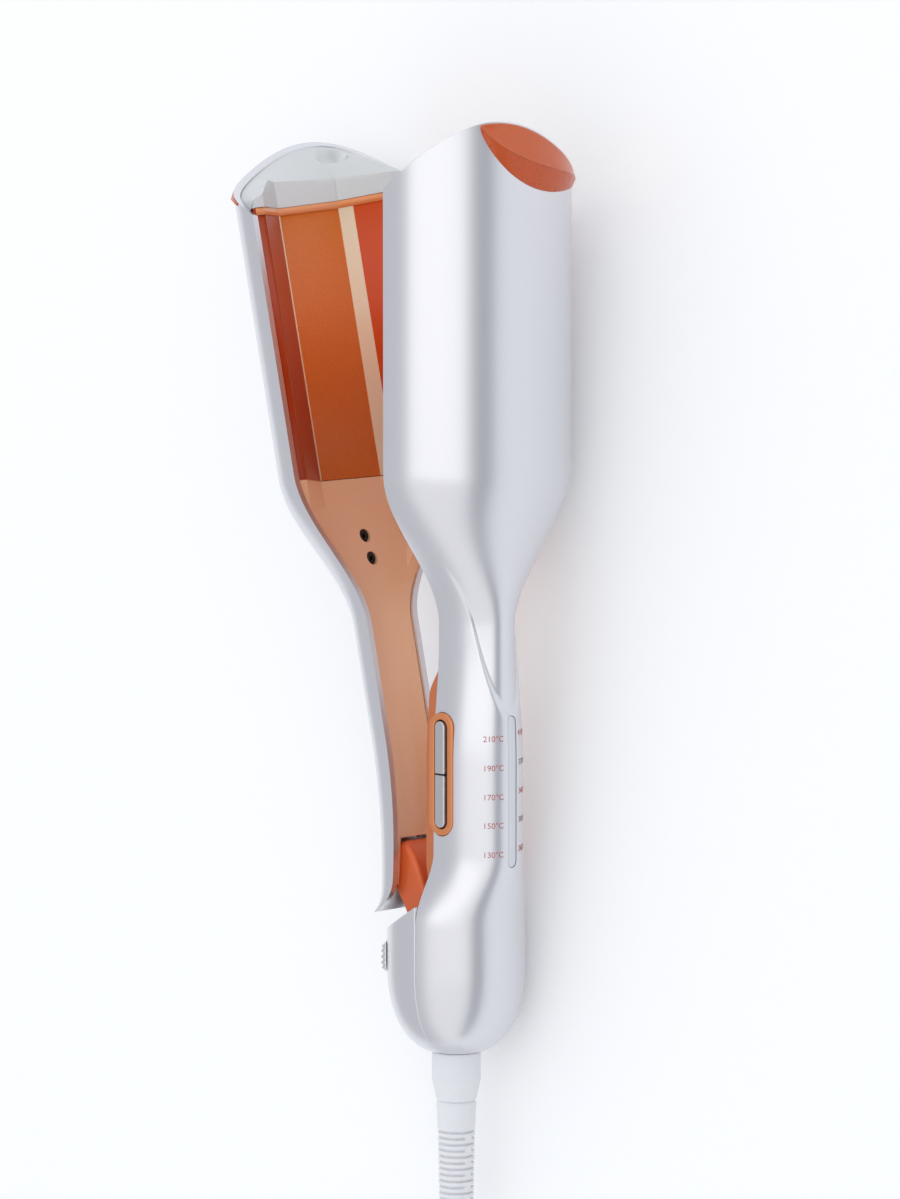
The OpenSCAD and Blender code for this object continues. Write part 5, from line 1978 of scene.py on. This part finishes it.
@dataclass
class Studio:
    """Camera, floor, backdrop and soft lights."""

    place: Placement
    focal_px: float = 5927.9
    frame_px: tuple[int, int] = (900, 1199)
    sensor_mm: float = 36.0
    distance: float = 2000.0
    turn_deg: float = 44.81
    lift_deg: float = 6.465
    aim_offset: tuple[float, float] = (-4.635, 106.648)
    aim_from: float = 8.0
    floor_half: float = 4.0
    sheet_x: tuple[float, float] = (1.1, 1.15)
    sheet_top: float = 0.42

    def axes(self) -> tuple[Array, Array, Array]:
        """The camera's directions, from its turn about Y and its lift towards the tips.

        Returns:
            Right, up and back, in the tool frame.
        """
        t, e = math.radians(self.turn_deg), math.radians(self.lift_deg)
        right = np.array([math.cos(t), 0, -math.sin(t)])
        up = np.array([-math.sin(e) * math.sin(t), math.cos(e), -math.sin(e) * math.cos(t)])
        back = np.array([math.cos(e) * math.sin(t), math.sin(e), math.cos(e) * math.cos(t)])
        return right, up, back

    def make_camera(self) -> None:
        """Places the camera so that the hinge's height lands on its row of the frame."""
        right, up, back = self.axes()
        aim = (np.array([0, self.aim_from, 0]) + right * self.aim_offset[0]
               + up * self.aim_offset[1])
        eye, target, tip = (self.place(aim + step)
                            for step in (back * self.distance, back * 0, up * 10))
        data = bpy.data.cameras.new("view")
        data.sensor_fit, data.sensor_width = "AUTO", self.sensor_mm
        data.lens = self.focal_px / max(self.frame_px) * self.sensor_mm
        data.clip_start, data.clip_end = 0.05, 20.0
        camera = link_object("view", data)
        z = Vector(eye - target).normalized()
        x = Vector(tip - target).normalized().cross(z).normalized()
        basis = Matrix((x, z.cross(x), z)).transposed().to_4x4()
        basis.translation = Vector(eye)
        camera.matrix_world = basis
        bpy.context.scene.camera = camera

    def make_sheet(self, name: str, points: Sequence[tuple[float, float, float]],
                   colour: str, glow: float) -> None:
        """Adds one flat sheet of the stage.

        Its matt paint glows a little for the camera and in reflections, and lights nothing.

        Args:
            name: its name.
            points: its four corners, in metres.
            colour: its paint.
            glow: strength of the glow.
        """
        mesh = bpy.data.meshes.new(name)
        mesh.from_pydata(points, [], [(0, 1, 2, 3)])
        sheet = link_object(name, mesh)
        paint = Finish(f"{name}_paint", colour, 0.9, grain_mm=6.0, colour_swing=0.004,
                       rough_swing=0.02, bump_mm=0.0).build()
        tree = paint.node_tree
        surface = next(n for n in tree.nodes if n.type == "BSDF_PRINCIPLED")
        shine = add_node(tree, "ShaderNodeMath", operation="MULTIPLY", values={1: glow},
                         links={0: self.seen_ray(tree)})
        surface.inputs["Emission Color"].default_value = (1, 1, 1, 1)
        tree.links.new(shine.outputs["Value"], surface.inputs["Emission Strength"])
        mesh.materials.append(paint)
        sheet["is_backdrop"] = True

    def seen_ray(self, tree: bpy.types.NodeTree) -> bpy.types.NodeSocket:
        """A value of 1 for rays from the camera, a mirror or a clear body, and 0 for others.

        Args:
            tree: the tree that needs it.

        Returns:
            The socket that gives the value.
        """
        path = add_node(tree, "ShaderNodeLightPath")
        seen = path.outputs["Is Camera Ray"]
        for kind in ("Is Transmission Ray", "Is Glossy Ray"):
            seen = add_node(tree, "ShaderNodeMath", operation="MAXIMUM",
                            links={0: seen, 1: path.outputs[kind]}).outputs["Value"]
        return seen

    def make_floor(self) -> None:
        """A wide white floor and a grey sheet beyond it, which draws the dark line on the metal."""
        r, (low_x, top_x), top = self.floor_half, self.sheet_x, self.sheet_top
        self.make_sheet("floor", [(-r, -r, 0), (r, -r, 0), (r, r, 0), (-r, r, 0)],
                        "#FAFAF9", 0.12)
        self.make_sheet("side_sheet", [(low_x, r, 0), (low_x, -r, 0), (top_x, -r, top),
                                       (top_x, r, top)], "#A5A6AA", 0.0)

    def make_backdrop(self) -> None:
        """A white backdrop for the camera and mirrors, greyer on the -X side, and grey fill."""
        world = bpy.data.worlds.new("studio")
        world.use_nodes = True
        tree = world.node_tree
        tree.nodes.clear()
        white, grey, dim = (
            add_node(tree, "ShaderNodeBackground",
                     values={"Color": srgb(colour), "Strength": strength}).outputs["Background"]
            for colour, strength in (("#FFFFFF", 1.0), ("#E9ECF2", 1.03), ("#CDCED2", 1.0)))
        ray = add_node(tree, "ShaderNodeTexCoord").outputs["Generated"]
        across = add_node(tree, "ShaderNodeSeparateXYZ", links={"Vector": ray}).outputs["X"]
        share = add_node(tree, "ShaderNodeMapRange", values={"From Min": -0.34, "From Max": -0.04},
                         links={"Value": across}).outputs["Result"]
        seen = add_node(tree, "ShaderNodeMixShader", links={0: share, 1: dim, 2: white})
        both = add_node(tree, "ShaderNodeMixShader",
                        links={0: self.seen_ray(tree), 1: grey, 2: seen.outputs["Shader"]})
        add_node(tree, "ShaderNodeOutputWorld", links={"Surface": both.outputs["Shader"]})
        bpy.context.scene.world = world

    def add_light(self, name: str, at: tuple[float, float, float],
                  to: tuple[float, float, float], size: tuple[float, float],
                  watts: float) -> None:
        """Adds one white softbox.

        Args:
            name: its name.
            at: its place in the row frame, in metres.
            to: the point that it faces.
            size: width and length in metres.
            watts: its power.
        """
        data = bpy.data.lights.new(name, "AREA")
        data.shape, data.energy = "RECTANGLE", watts
        data.size, data.size_y = size
        light = link_object(name, data)
        light.location = at
        light.rotation_euler = (Vector(to) - Vector(at)).to_track_quat("-Z", "Y").to_euler()

    def make_lights(self) -> None:
        """A long main softbox above the camera and a small one beyond the tips."""
        self.add_light("main", (0.72, 0.05, 1.24), (0.0, 0.05, 0.0), (0.66, 1.9), 1.8)
        self.add_light("tip_fill", (-0.2, 1.5, 0.8), (0.0, 0.1, 0.0), (1.2, 0.5), 1.2)

    def make(self) -> None:
        """Builds the studio."""
        self.make_camera()
        self.make_floor()
        self.make_backdrop()
        self.make_lights()
        bpy.context.scene.view_settings.view_transform = "Standard"


def corners(box: tuple[Vector, Vector]) -> list[list[float]]:
    """A box as two plain lists of numbers."""
    return [[float(v) for v in corner] for corner in box]


def main() -> None:
    """Builds the dressed model in order."""
    logging.basicConfig(level=logging.INFO, format="%(name)s %(message)s")
    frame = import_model()
    cad_box = corners(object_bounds())
    place = Placement(frame["record"])
    studio = Studio(place)
    studio.make()
    finishes = Finishes()
    bench = Workbench(place)
    CordOutlet(bench, finishes).make()
    fixed = FixedArm(bench, finishes)
    fixed.make()
    Controls(bench, finishes, fixed).make()
    LeverArm(bench, finishes).make()
    JawLock(bench, finishes).make()
    Inner(finishes, frame).dress()
    LOG.info("%d pieces made", len(bench.made))
    {"cad": cad_box, "visual": corners(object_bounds())}


if __name__ == "__main__":
    main()
